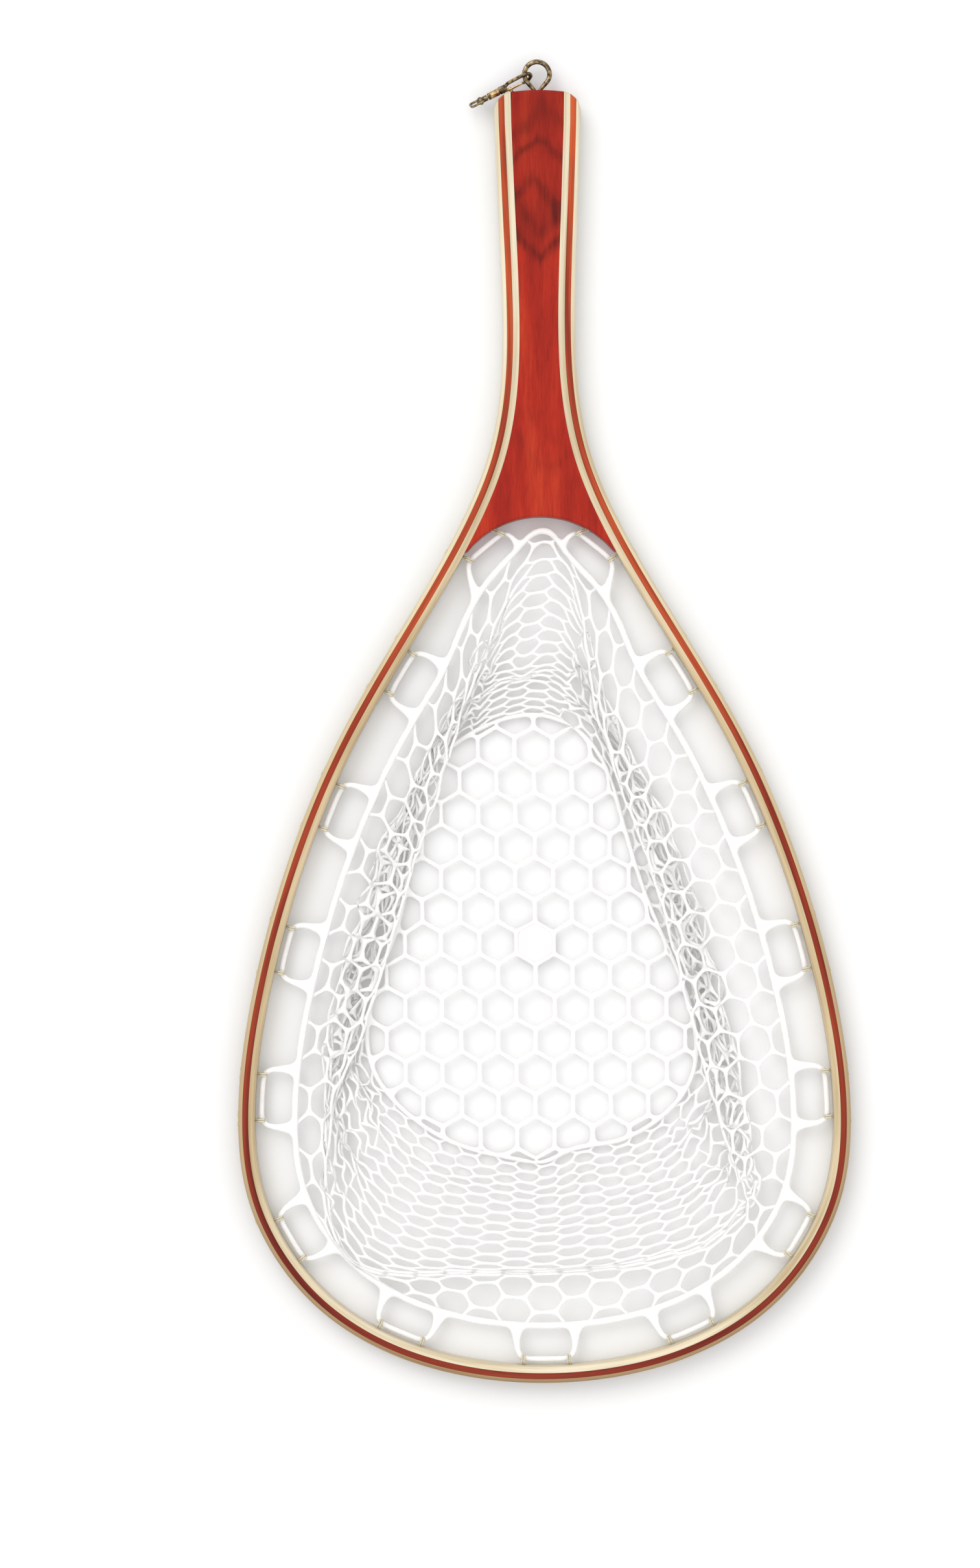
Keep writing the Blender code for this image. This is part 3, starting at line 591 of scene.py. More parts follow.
def moulded_rubber(name):
    """Clear, slightly milky rubber with soft ripples from its mould; painted shade makes its flanks darker
    and warmer than its top.
    """
    paint = Painter(name, 0.3, IOR=1.42, Specular_IOR_Level=0.45, Alpha=0.66)
    paint.shader.inputs["Subsurface Weight"].default_value = 0.6
    paint.shader.inputs["Subsurface Radius"].default_value = (1.0, 1.0, 1.0)
    paint.shader.inputs["Subsurface Scale"].default_value = 0.004
    place = paint.where()
    facing = paint.node("ShaderNodeTexCoord").outputs["Normal"]
    cloud = paint.noise(place, 90.0, 3.0)
    ripple = paint.noise(place, 420.0, 3.0)
    top = paint.ramp(cloud, [(0.3, (0.86, 0.85, 0.84)), (0.7, (0.92, 0.915, 0.91))])
    shaded_flank = paint.ramp(cloud, [(0.3, (0.86, 0.83, 0.81)), (0.7, (0.92, 0.9, 0.88))])
    # Painted shade: faces that turn away from straight up take the darker, warmer flank colour.
    colour = paint.mix(paint.share(paint.part(facing, "Z"), 0.15, 0.8), shaded_flank, top)
    rough = paint.math("MULTIPLY_ADD", ripple, 0.2, 0.2)
    return paint.finish(colour, rough, paint.bump(ripple, 0.25, 0.0004))


def aged_brass(name, bright, dull, wear):
    """Brass that is bright where it is rubbed and brown where it isn't."""
    paint = Painter(name, 0.3, Metallic=1.0)
    place = paint.where()
    cloud = paint.noise(place, 650.0, 5.0, 0.65)
    grain = paint.noise(place, 4200.0, 3.0)
    colour = paint.ramp(cloud, [(wear - 0.12, dull), (wear + 0.12, bright)])
    rough = paint.math("MULTIPLY_ADD", cloud, 0.3, 0.18)
    return paint.finish(colour, rough, paint.bump(grain, 0.2, 0.0001))


def twine(name):
    """Waxed beige twine; its attribute holds the length and the turn round the cord."""
    paint = Painter(name, 0.7, Sheen_Weight=0.25)
    place = paint.where("twist")
    slope = paint.math("MULTIPLY_ADD", paint.part(place, "X"), 2 * PLY_TWIST, paint.part(place, "Y"))
    twist = paint.math("SINE", slope)
    fibre = paint.noise(paint.scaled(place, (3.0, 3.0, 3.0)), 2.0, 4.0)
    colour = paint.ramp(fibre, [(0.3, srgb(196, 186, 154)), (0.7, srgb(228, 220, 196))])
    shade = paint.ramp(paint.math("MULTIPLY_ADD", twist, 0.5, 0.5), [(0.0, grey(0.74)), (0.4, grey(1.0))])
    return paint.finish(paint.tint(colour, shade), None, paint.bump(twist, 0.6, 0.0003))


# Wooden frame


def butt_height(x):
    """Height of the handle's end at a distance from the centre line: a low crown with round shoulders."""
    crown = CROWN_Y - CROWN_DROP * (x / SHOULDER_X) ** 2
    over = max(0.0, SHOULDER_RADIUS - (SHOULDER_X - abs(x)))
    return crown - SHOULDER_RADIUS + math.sqrt(SHOULDER_RADIUS**2 - over**2)


def arch_height(x):
    """Height of the round arch that runs from tip to tip over its top."""
    rise = ARCH_TOP_Y - ARCH_TIP[1]
    radius = (ARCH_TIP[0] ** 2 + rise**2) / (2 * rise)
    return ARCH_TOP_Y - radius + math.sqrt(radius**2 - x**2)


def rounded_drop(distance, radius):
    """How far a rounded edge lies below the flat at a distance in from the face."""
    if distance >= radius:
        return 0.0
    return radius - math.sqrt(max(0.0, radius**2 - (radius - distance) ** 2))


def band_drop(depth, inner_round):
    """Drop of the band's top below the flat at a depth: its outer and inner edges are rounded."""
    return rounded_drop(depth, OUTER_ROUND) + rounded_drop(BAND_DEPTH - depth, inner_round)


def section_depths(start, end):
    """Depths of a lamination's section points, closer together where the edge rounds over."""
    share = np.linspace(0, 1, ROUND_STEPS + 1)
    if start == 0:
        return list(end * share**EDGE_CROWDING)
    if end == BAND_DEPTH:
        return list(end - (end - start) * (1 - share) ** EDGE_CROWDING)
    return [start, start + MIDDLE_EDGE, end - MIDDLE_EDGE, end]


def strip_ring(depths, inner_round, groove, squeeze):
    """Section points of a lamination as depth and height, from the underside round to the top."""
    low = [(depth, band_drop(depth, inner_round) + squeeze) for depth in depths]
    ring = low + [(depth, THICKNESS - drop) for depth, drop in reversed(low)]
    if depths[0] == 0:
        sunk = GROOVE_DEPTH * groove
        marks = [(sunk * depth, GROOVE_HALF_WIDTH * width) for depth, width in GROOVE_SECTION]
        ring += [(depth, MID_Z + z) for depth, z in marks]
        ring += [(depth, MID_Z - z) for depth, z in reversed(marks)]
    return ring


def strip(name, depths, material, laced):
    """A lamination, with a grain attribute that holds length, depth and height in metres."""
    line = full_outline(WOOD_STATIONS)
    lengths = np.append(0, np.cumsum(np.linalg.norm(np.diff(line, axis=0), axis=1)))
    tip = int(np.argmin(np.abs(line[: WOOD_STATIONS // 2, 1] - ARCH_TIP[1])))
    rings = []
    labels = []
    for i, (point, inward) in enumerate(zip(line, left_normals(line))):
        from_end = min(i, WOOD_STATIONS - 1 - i)
        inner_round = max(SHARP_ROUND, INNER_ROUND * np.clip((from_end - tip) / TIP_FADE, 0, 1))
        groove = np.clip((from_end - laced) / GROOVE_FADE, 0, 1)
        squeeze = 0.0 if from_end else END_ROUND
        ring = []
        for depth, z in strip_ring(depths, inner_round, groove, squeeze):
            x, y = point + inward * depth
            if from_end < 2:
                x = math.copysign(SHOULDER_X - depth, x)
                y = butt_height(x) - END_ROUND * from_end
            ring.append(world(x, y, z))
            labels.append(Vector((lengths[i], depth, z)) * MM)
        rings.append(ring)
    shape = bmesh.new()
    add_skin(shape, rings, labels, shape.verts.layers.float_vector.new("grain"))
    return mesh_object(name, shape, material)


def core_outline():
    """The core's outline: up its right side, over the crown, down its left side and along the arch."""
    line = full_outline(FINE_STATIONS)
    inner = line + left_normals(line) * (BAND_DEPTH + GLUE_GAP)
    right = inner[FINE_STATIONS // 2 :]
    side = even_points(right[right[:, 1] > ARCH_TIP[1]], CORE_SIDE_POINTS)
    corner_x = SHOULDER_X - BAND_DEPTH - GLUE_GAP
    side[-1] = (corner_x, butt_height(corner_x))
    crown = [(x, butt_height(x)) for x in np.linspace(corner_x, -corner_x, CROWN_POINTS)[1:-1]]
    arch = [(x, arch_height(x)) for x in np.linspace(-side[0][0], side[0][0], ARCH_POINTS)[1:-1]]
    return np.vstack([side, crown, side[::-1] * (-1, 1), arch])


def core_freedom(count):
    """How far each outline point takes part in rounding: all the way on the crown and the arch."""
    free = np.zeros(count)
    free[CORE_SIDE_POINTS - 1 : CORE_SIDE_POINTS + CROWN_POINTS - 1] = 1.0
    arch = 2 * CORE_SIDE_POINTS + CROWN_POINTS - 2
    free[arch:] = 1.0
    for k, share in enumerate(ARCH_RUN_OUT):
        free[[arch + k, -1 - k]] = share
    return free


def core_piece(material):
    """The handle's solid, from the crowned butt to the arch, with its free edges rounded."""
    corners = core_outline()
    inwards = left_normals(corners, closed=True)
    free = core_freedom(len(corners))
    turns = np.linspace(0, math.pi / 2, CORE_ROUND_STEPS + 1)
    steps = [(CORE_ROUND * (1 - math.cos(turn)) * free, CORE_ROUND * (1 - math.sin(turn))) for turn in turns]
    steps.append(((CORE_ROUND + CAP_STEP) * free + CAP_INSET, 0.0))
    levels = steps[::-1] + [(inset, THICKNESS - drop) for inset, drop in steps]
    shape = bmesh.new()
    add_skin(shape, [[world(x, y, z) for x, y in corners + inwards * inset[:, None]] for inset, z in levels])
    return mesh_object("handle_core_wood", shape, material)


# Tabs, rim and ties


class HoopInside:
    """The hoop's inner face, looked up by its length from the foot."""

    def __init__(self):
        line = full_outline(FINE_STATIONS)
        self.outline = line
        self.face = line + left_normals(line) * BAND_DEPTH
        self.inwards = left_normals(self.face)
        steps = np.linalg.norm(np.diff(self.face, axis=0), axis=1)
        lengths = np.append(0, np.cumsum(steps))
        self.lengths = lengths - lengths[FINE_STATIONS // 2]

    def at(self, length):
        i = int(np.argmin(np.abs(self.lengths - length)))
        return self.face[i], self.inwards[i]

    def nearest_outline(self, point):
        return int(np.argmin(np.linalg.norm(self.outline - point, axis=1)))


def hoop_tab(inside, index):
    """Map from a tab's own coordinates (along the hoop, inwards) to the plan."""
    origin, inward = inside.at(index * TAB_PITCH)
    along = np.array([inward[1], -inward[0]])
    return lambda t, u: origin + along * t + inward * u


def arch_tab(side):
    """The tab in the arch's corner, whose bar is pulled askew from its rim."""
    lines = [np.array(ends)[::side] * (side, 1) for ends in (ARCH_TAB_BAR, ARCH_TAB_RIM)]

    def place(t, u):
        share = (t + TAB_HALF_SPAN) / (2 * TAB_HALF_SPAN)
        on_bar, on_rim = [start + (end - start) * share for start, end in lines]
        return on_bar + (on_rim - on_bar) * u / RIM_INSET

    return place


def all_tabs(inside):
    """Every tab's map, in order round the hoop from the arch's left corner to its right one."""
    middle = [hoop_tab(inside, index) for index in range(-SIDE_TABS, SIDE_TABS + 1)]
    return [arch_tab(-1)] + middle + [arch_tab(1)]


def rim_line(tabs, count):
    """Centre line of the rim, starting near the arch's left corner."""
    points = [tab(t, RIM_INSET) for tab in tabs for t in (-TAB_HALF_SPAN, TAB_HALF_SPAN)]
    return smooth_line(points + [RIM_TOP], count, closed=True)


# Nets of strands


class Net:
    """Strands joined at nodes; a node has a place, a height and the direction of that height."""

    def __init__(self):
        self.nodes = []
        self.links = []

    def node(self, point, height, up=(0, 0, 1), share=0.0):
        self.nodes.append((point, height, Vector(up).normalized(), share))
        return len(self.nodes) - 1

    def link(self, a, b, width, width_b=None):
        self.links.append((a, b, width, width if width_b is None else width_b))

    def ring(self, line, z, marks, least, step, height, width):
        """A closed strand along the line, with a node at every mark; gives the marks' nodes."""
        spacing = float(np.linalg.norm(line[1] - line[0]))
        at_mark = {}
        ring = []
        for start, end in zip(marks, marks[1:] + [marks[0] + len(line)]):
            steps = max(least, round((end - start) * spacing / step))
            at_mark[start] = len(self.nodes)
            for k in range(steps):
                index = round(start + (end - start) * k / steps) % len(line)
                ring.append(self.node(world(*line[index], z), height))
        for a, b in zip(ring, ring[1:] + ring[:1]):
            self.link(a, b, width)
        return at_mark

    def mesh(self, shape):
        """Corners between the strands round every node, in two layers, with strips along the strands."""
        spokes = [[] for _ in self.nodes]
        for a, b, width_a, width_b in self.links:
            spokes[a].append((b, width_a))
            spokes[b].append((a, width_b))
        layer = shape.verts.layers.float.new("share")
        sides = {}
        for i, arms in enumerate(spokes):
            if not arms:
                continue
            pairs, order = self.corners(shape, layer, i, arms)
            for k, (_, j, _, _) in enumerate(order):
                sides[i, j] = (pairs[k - 1], pairs[k])
            if len(order) > 2:
                shape.faces.new([high for _, high in pairs])
                shape.faces.new([low for low, _ in reversed(pairs)])
        for a, b, _, _ in self.links:
            right_a, left_a = sides[a, b]
            right_b, left_b = sides[b, a]
            shape.faces.new((right_a[1], left_b[1], right_b[1], left_a[1]))
            shape.faces.new((left_a[0], right_b[0], left_b[0], right_a[0]))
            shape.faces.new((right_a[0], left_b[0], left_b[1], right_a[1]))
            shape.faces.new((left_a[1], right_b[1], right_b[0], left_a[0]))

    def corners(self, shape, layer, i, arms):
        """Pairs of vertices, low and high, in the gaps between a node's strands, and the strands in order."""
        here, height, up, share = self.nodes[i]
        across = up.orthogonal().normalized()
        ahead = up.cross(across)
        order = []
        for j, width in arms:
            way = self.nodes[j][0] - here
            order.append((math.atan2(way.dot(ahead), way.dot(across)), j, width, way.length))
        order.sort()
        shortest = min(length for _, _, _, length in order)
        pairs = []
        for k, (angle, _, width, _) in enumerate(order):
            next_angle, _, next_width, _ = order[(k + 1) % len(order)]
            turn = (next_angle - angle) % (2 * math.pi)
            if len(order) == 1:
                turn = 2 * math.pi
            x, y = corner_offset(angle, turn, width / 2, next_width / 2)
            size = math.hypot(x, y)
            limit = min(CORNER_REACH * max(width, next_width), CORNER_SHARE * shortest)
            shrink = min(1.0, limit / size) if size else 1.0
            place = here + (across * x + ahead * y) * shrink
            pair = []
            for side in (-0.5, 0.5):
                vertex = shape.verts.new(place + up * (side * height))
                vertex[layer] = share
                pair.append(vertex)
            pairs.append(tuple(pair))
        return pairs, order


def corner_offset(angle, turn, half, next_half):
    """Where the near edges of two strands meet, seen from their shared node."""
    sine = math.sin(turn)
    if sine > LEAST_SINE:
        x = (next_half * math.cos(angle) + half * math.cos(angle + turn)) / sine
        y = (next_half * math.sin(angle) + half * math.sin(angle + turn)) / sine
        return x, y
    reach = (half + next_half) / 2 / max(LEAST_SINE, math.sin(turn / 2))
    return reach * math.cos(angle + turn / 2), reach * math.sin(angle + turn / 2)


def net_object(name, net, material, levels):
    shape = bmesh.new()
    net.mesh(shape)
    return soften(mesh_object(name, shape, material, sharp=0), levels)


# Rim of the bag


def rim_and_tabs(tabs, material):
    line = rim_line(tabs, RIM_STATIONS)
    t, u = LEG_FOOT
    feet = [tab(side * t, u) for tab in tabs for side in (-1, 1)]
    bases = [int(np.argmin(np.linalg.norm(line - foot, axis=1))) for foot in feet]
    net = Net()
    thick = RIM_DIAMETER * CAGE * MM
    at_base = net.ring(line, MID_Z, sorted(bases), 2, RIM_STEP, thick * RIM_FLATNESS, thick)
    for k, tab in enumerate(tabs):
        add_tab(net, tab, [at_base[base] for base in bases[2 * k : 2 * k + 2]])
    return net_object("bag_rim_cord", net, material, 2)


def add_tab(net, tab, base):
    """One window: two legs that widen into the rim and a bar with round corners between them."""
    thick = BAR_DIAMETER * CAGE * MM
    ends = []
    for side, before in zip((-1, 1), base):
        before_width = WEB_WIDTH * CAGE * MM
        for t, u, width in LEG:
            here = net.node(world(*tab(side * t, u), MID_Z), min(thick, width * CAGE * MM))
            net.link(before, here, before_width, width * CAGE * MM)
            before, before_width = here, width * CAGE * MM
        ends.append(before)
    middle = net.node(world(*tab(0, BAR_INSET), MID_Z), thick)
    for end in ends:
        net.link(end, middle, thick)


# Wall of the bag


class Noise:
    """Smooth seeded noise over columns and rows that joins up round the rim."""

    def __init__(self, seed, column_step, row_step):
        self.steps = (column_step, row_step)
        self.columns = round(COLUMNS / column_step)
        rows = math.ceil(ROWS / row_step) + 2
        self.grid = np.random.default_rng(seed).uniform(-1, 1, (self.columns, rows, 3))

    def at(self, x, y):
        u, v = x / self.steps[0], y / self.steps[1]
        i, j = math.floor(u), math.floor(v)
        p, q = u - i, v - j
        p, q = p * p * (3 - 2 * p), q * q * (3 - 2 * q)
        left, right = [self.grid[k % self.columns, j : j + 2] for k in (i, i + 1)]
        low, high = left * (1 - p) + right * p
        return low * (1 - q) + high * q


class WallShape:
    """Where a point of the wall lies, from its column and its row."""

    STEPS = 8

    def __init__(self, tabs):
        edge = smooth_line(FLOOR_OUTLINE, WALL_STATIONS, closed=True)
        self.rim = self.by_column(rim_line(tabs, WALL_STATIONS), (0.0, RIM_INSET + BAND_DEPTH))
        self.edge = self.by_column(edge, FLOOR_OUTLINE[0])
        table = np.array(FOLD_STATIONS, float)
        columns = np.arange(COLUMNS * self.STEPS) / self.STEPS
        self.table = np.column_stack(
            [np.interp(columns, table[:, 0], values, period=COLUMNS) for values in table[:, 1:].T]
        )
        reach = np.arange(-BLUR_REACH, BLUR_REACH + 1)
        weights = np.exp(-((reach / BLUR_WIDTH) ** 2))
        weights /= weights.sum()
        self.table = sum(w * np.roll(self.table, r, axis=0) for r, w in zip(reach, weights))
        self.coarse = Noise(*COARSE_NOISE)
        self.fine = Noise(*FINE_NOISE)

    def by_column(self, line, start):
        """The line again, evenly spaced from the point nearest the start, STEPS points to a column."""
        first = int(np.argmin(np.hypot(*(line - start).T)))
        line = np.roll(line, -first, axis=0)
        count = COLUMNS * self.STEPS
        return even_points(np.vstack([line, line[:1]]), count + 1)[:count]

    def look(self, values, x):
        u = x * self.STEPS
        i = math.floor(u)
        count = len(values)
        return values[i % count] * (1 - u + i) + values[(i + 1) % count] * (u - i)

    def knots(self, x):
        """Rows and places where the column's path turns."""
        rim = self.look(self.rim, x)
        edge = self.look(self.edge, x)
        fold_x, fold_y, first, folded, gather = self.look(self.table, x)
        fold = np.array([fold_x, fold_y])
        out = rim - fold
        span = np.linalg.norm(out)
        out = out / max(span, 1e-6)
        drop = max(np.linalg.norm(edge - fold), 1e-6)
        under = fold + (edge - fold) * min(1.0, UNDER_FOLD_REACH / drop)
        left = ROWS - first - folded
        gather = min(gather, GATHER_LIMIT * span)
        rows = [0, first, first + folded]
        places = [(*rim, RIM_Z), (*fold, FOLD_Z), (*under, UNDER_FOLD_Z)]
        tongue = max(0.0, 1 - abs(x % COLUMNS - TONGUE_MIDDLE) / TONGUE_REACH)
        steps = [(k / TONGUE_STEPS, 0.0) for k in range(1, TONGUE_STEPS + 1)] if tongue else FOLD_SWINGS
        for share, swing in steps:
            hurried = float(np.interp(share, *np.array(TONGUE_ROWS).T))
            along = share + tongue * (hurried - share)
            place = under + (edge - under) * along + out * gather * swing
            height = UNDER_FOLD_Z + (EDGE_Z - UNDER_FOLD_Z) * share
            rows.append(first + folded + left * share)
            places.append((*place, height))
        return np.array(rows), np.array(places), gather

    def at(self, x, y):
        """The wall's point in millimetres, rounded off where the path turns."""
        rows, places, gather = self.knots(x)
        reach = min(ROUND_OFF, y, ROWS - y)
        taps = np.clip(y + reach * np.linspace(-1, 1, ROUND_OFF_TAPS), 0, ROWS)
        point = np.array([np.interp(taps, rows, column).mean() for column in places.T])
        loose = min(1.0, y, ROWS - y)
        hidden = int(y > rows[2] and gather > HIDDEN_GATHER)
        coarse = self.coarse.at(x, y) * COARSE_STRAY[hidden]
        fine = self.fine.at(x, y) * FINE_STRAY[hidden]
        point += (coarse + fine) * loose
        if y > rows[2]:
            point[2] += WEAVE * loose * math.cos(2 * math.pi * y)
        point[2] = min(WALL_HIGH, max(WALL_LOW, point[2]))
        return point

    def up(self, x):
        inwards = self.look(self.edge, x) - self.look(self.rim, x)
        level, climb = WALL_SLANT
        return Vector((*(level * inwards / np.linalg.norm(inwards)), climb))


def crumpled(x, y):
    """Whether the wall at a column and a row lies crumpled, with thinner strands."""
    first, last = CRUMPLE_COLUMNS
    from_tongue, to_tongue = TONGUE_COLUMNS
    return y >= CRUMPLE_FROM_ROW and first <= x <= last and not from_tongue < x < to_tongue


def wall_strands():
    """Pairs of joined cell corners; a corner is counted in thirds of a column and in half rows."""
    for column in range(COLUMNS):
        offset = column % 2
        third = 3 * column
        for row in range(offset, 2 * ROWS + 1, 2):
            for side in (-1, 1):
                if 0 <= row + side <= 2 * ROWS:
                    yield (third + 1, row + side), (third + 2, row)
        for row in range(1 - offset, 2 * ROWS + 1, 2):
            yield (third - 1, row), (third + 1, row)
        if not offset:
            for row in (0, 2 * ROWS):
                yield (third - 2, row), (third + 2, row)


def wall_net(tabs):
    """Hexagonal cells with two sides along the rim: columns of cells half a row out of step."""
    wall = WallShape(tabs)
    net = Net()
    thick = WALL_DIAMETER * CAGE * MM
    nodes = {}

    def make(x, y):
        size = thick * (CRUMPLE_THINNING if crumpled(x, y) else 1.0)
        return net.node(world(*wall.at(x, y)), size, wall.up(x), y / ROWS)

    def node(third, row):
        key = (third % (3 * COLUMNS), row)
        if key not in nodes:
            nodes[key] = make(key[0] / 3, row / 2)
        return nodes[key]

    for first, second in wall_strands():
        a, b = node(*first), node(*second)
        x = (first[0] + second[0]) / 6
        y = (first[1] + second[1]) / 4
        if crumpled(x, y):
            net.link(a, b, thick * CRUMPLE_THINNING)
            continue
        width = thick * (RIM_STRAND if y < 1 else 1.0)
        middle = make(x, y)
        net.link(a, middle, width, thick * STRAND_WAIST)
        net.link(middle, b, thick * STRAND_WAIST, width)
    return net


def wall_piece(tabs, material):
    net = wall_net(tabs)
    obj = net_object("bag_wall_net", net, material, 1)
    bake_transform(obj)
    shares = np.zeros(len(obj.data.vertices), np.float32)
    obj.data.attributes["share"].data.foreach_get("value", shares)
    return obj


# Floor of the bag


def floor_height(outline, x, y):
    distance = float(np.min(np.hypot(outline[:, 0] - x, outline[:, 1] - y)))
    return EDGE_Z + FLOOR_RISE * (1 - math.exp(-((distance / FLOOR_RISE_SPAN) ** 2)))


def inside_polygon(outline, x, y):
    """Whether the point lies inside the closed outline."""
    xs, ys = outline[:, 0], outline[:, 1]
    next_xs, next_ys = np.roll(xs, -1), np.roll(ys, -1)
    spans = (ys > y) != (next_ys > y)
    where = xs + (y - ys) / np.where(next_ys == ys, 1e-9, next_ys - ys) * (next_xs - xs)
    return bool(np.count_nonzero(spans & (x < where)) % 2)


def crossing(outline, inner, outer):
    """Number of the outline's point that is nearest to where the segment leaves the outline."""
    low, high = 0.0, 1.0
    for _ in range(HALVINGS):
        middle = (low + high) / 2
        if inside_polygon(outline, *(inner + (outer - inner) * middle)):
            low = middle
        else:
            high = middle
    return int(np.argmin(np.hypot(*(outline - inner - (outer - inner) * low).T)))


def floor_strands():
    """Pairs of joined cell corners; a corner is counted in half pitches across and half sides up."""
    joined = set()
    for row in FLOOR_ROWS:
        for column in FLOOR_COLUMNS:
            keys = [(2 * column + row % 2 + a, 3 * row + b) for a, b in CELL_CORNERS]
            joined.update(tuple(sorted(pair)) for pair in zip(keys, keys[1:] + keys[:1]))
    return sorted(joined)


def cell_corner(key):
    """Plan place of a cell corner, counted from the filled cell's middle."""
    return np.array(SOLID_CELL) + (key[0] * FLOOR_PITCH / 2, key[1] * CELL_SIDE / 2)


def floor_piece(material):
    outline = smooth_line(FLOOR_OUTLINE, FLOOR_STATIONS, closed=True)
    thick = FLOOR_DIAMETER * CAGE * MM
    net = Net()
    jitter = Noise(*FLOOR_NOISE)
    nodes = {}

    def loose_node(point):
        x, y = point
        span_x, span_y = FLOOR_NOISE_SPAN
        shift = jitter.at(x / span_x + FLOOR_NOISE_START, abs(y / span_y)) * FLOOR_JITTER
        return net.node(world(x + shift[0], y + shift[1], floor_height(outline, x, y) + shift[2]), thick)

    def node(key):
        if key not in nodes:
            nodes[key] = loose_node(cell_corner(key))
        return nodes[key]

    ends = []
    for a, b in floor_strands():
        start, end = cell_corner(a), cell_corner(b)
        inside = inside_polygon(outline, *start), inside_polygon(outline, *end)
        if all(inside):
            first = loose_node(start + (end - start) * WAIST_AT)
            second = loose_node(start + (end - start) * (1 - WAIST_AT))
            net.link(node(a), first, thick * KNUCKLE, thick * WAIST)
            net.link(first, second, thick * WAIST)
            net.link(second, node(b), thick * WAIST, thick * KNUCKLE)
        elif inside[0]:
            ends.append((crossing(outline, start, end), a))
        elif inside[1]:
            ends.append((crossing(outline, end, start), b))
    add_floor_ring(net, outline, ends, node, thick)
    return net_object("bag_floor_net", net, material, 2)


def add_floor_ring(net, outline, ends, node, thick):
    """The strand round the floor's edge, with a node wherever a cell's strand reaches it."""
    spacing = float(np.linalg.norm(outline[1] - outline[0]))
    marks = []
    keys = {}
    for index, key in sorted(ends):
        if not marks or (index - marks[-1]) * spacing >= RING_SPACING:
            marks.append(index)
        keys.setdefault(marks[-1], set()).add(key)
    ring_thick = FLOOR_RING_DIAMETER * CAGE * MM
    at_mark = net.ring(outline, EDGE_Z, marks, 1, RING_STEP, ring_thick, ring_thick)
    for mark in marks:
        for key in sorted(keys[mark]):
            net.link(node(key), at_mark[mark], thick)


def solid_cell(material):
    """The one filled cell of the floor: a low cushion whose edge runs into the strands round it."""
    outline = smooth_line(FLOOR_OUTLINE, FLOOR_STATIONS, closed=True)
    height = floor_height(outline, *SOLID_CELL)
    across, up = Vector((1, 0, 0)), Vector((0, 1, 0))
    reaches = [CELL_SIDE * MM * reach for reach in CUSHION_REACH * 6]
    shape = bmesh.new()
    rings = []
    for share, z in CUSHION_SECTIONS:
        centre = world(*SOLID_CELL, height + z)
        rings.append(circle(centre, across, up, [share * reach for reach in reaches]))
    add_skin(shape, rings)
    return soften(mesh_object("bag_floor_cell", shape, material, sharp=0), 2)


# Lacing


class Tie:
    """One place where the lacing passes through the hoop and round a tab's bar."""

    def __init__(self, inside, bar_point):
        self.bar = bar_point
        self.station = inside.nearest_outline(bar_point)
        out = inside.outline[self.station] - bar_point
        self.reach = float(np.linalg.norm(out))
        self.out = out / self.reach
        self.along = np.array([-self.out[1], self.out[0]])

    def at(self, distance, z, aside=0.0):
        return world(*(self.bar + self.out * distance + self.along * aside), MID_Z + z)

    def loop(self, aside):
        """Out of the hole above the bar, down inside the tab and back below it."""
        over = [(self.reach - LOOP_TUCK, STRAND_RISE)] + list(LOOP_OVER)
        under = [(distance, -z) for distance, z in reversed(over)]
        return [self.at(distance, z, aside) for distance, z in over + [(LOOP_NOSE, 0.0)] + under]


def all_ties(inside, tabs):
    return [Tie(inside, tab(t, BAR_INSET)) for tab in tabs for t in (-TIE_OFFSET, TIE_OFFSET)]


def curve_points(points, step):
    """Evenly spaced points on a smooth curve through points of the model."""
    knots = np.array([tuple(point) for point in points]) / MM
    length = float(np.linalg.norm(np.diff(knots, axis=0), axis=1).sum())
    count = max(4, round(length / step))
    return [Vector(point) * MM for point in smooth_line(knots, count)]


def add_twine(shape, points):
    """A twisted two-ply cord, with an attribute for its length and the turn round it."""
    layers = shape.verts.layers.float_vector
    layer = layers.get("twist") or layers.new("twist")
    turns = [2 * math.pi * k / TWINE_SIDES for k in range(TWINE_SIDES)]
    rings = []
    labels = []
    across = None
    length = 0.0
    for before, point, after in zip(points[:1] + points, points, points[1:] + points[-1:]):
        length += (point - before).length / MM
        along = (after - before).normalized()
        across = along.orthogonal() if across is None else across
        across = (across - along * across.dot(along)).normalized()
        lobes = [1 + PLY_DEPTH * math.cos(2 * turn - PLY_TWIST * length) for turn in turns]
        reaches = [TWINE_RADIUS * MM * lobe for lobe in lobes]
        rings.append(circle(point, across, along.cross(across), reaches))
        labels += [Vector((length, 2 * turn, FIBRE_SPREAD * k)) for k, turn in enumerate(turns)]
    add_skin(shape, rings, labels, layer)


def lacing_piece(inside, ties, material):
    """Doubled loops round the bars, and the cord in the groove between one hole and the next."""
    shape = bmesh.new()
    for tie in ties:
        for aside in LOOPS_APART:
            add_twine(shape, curve_points(tie.loop(aside), LOOP_STEP))
    inwards = left_normals(inside.outline)
    for start, end in zip(ties, ties[1:]):
        points = [start.at(start.reach - depth, -STRAND_RISE) for depth in (RUN_TUCK, CORD_DEPTH)]
        span = abs(inside.lengths[end.station] - inside.lengths[start.station])
        count = max(1, round(span / RUN_KNOT_STEP))
        for k in range(1, count + 1):
            share = k / (count + 1)
            i = round(start.station + (end.station - start.station) * share)
            x, y = inside.outline[i] + inwards[i] * CORD_DEPTH
            points.append(world(x, y, MID_Z + STRAND_RISE * (2 * share - 1)))
        points += [end.at(end.reach - depth, STRAND_RISE) for depth in (CORD_DEPTH, RUN_TUCK)]
        add_twine(shape, curve_points(points, RUN_STEP))
    return mesh_object("lacing_twine", shape, material, sharp=0)


# Stage


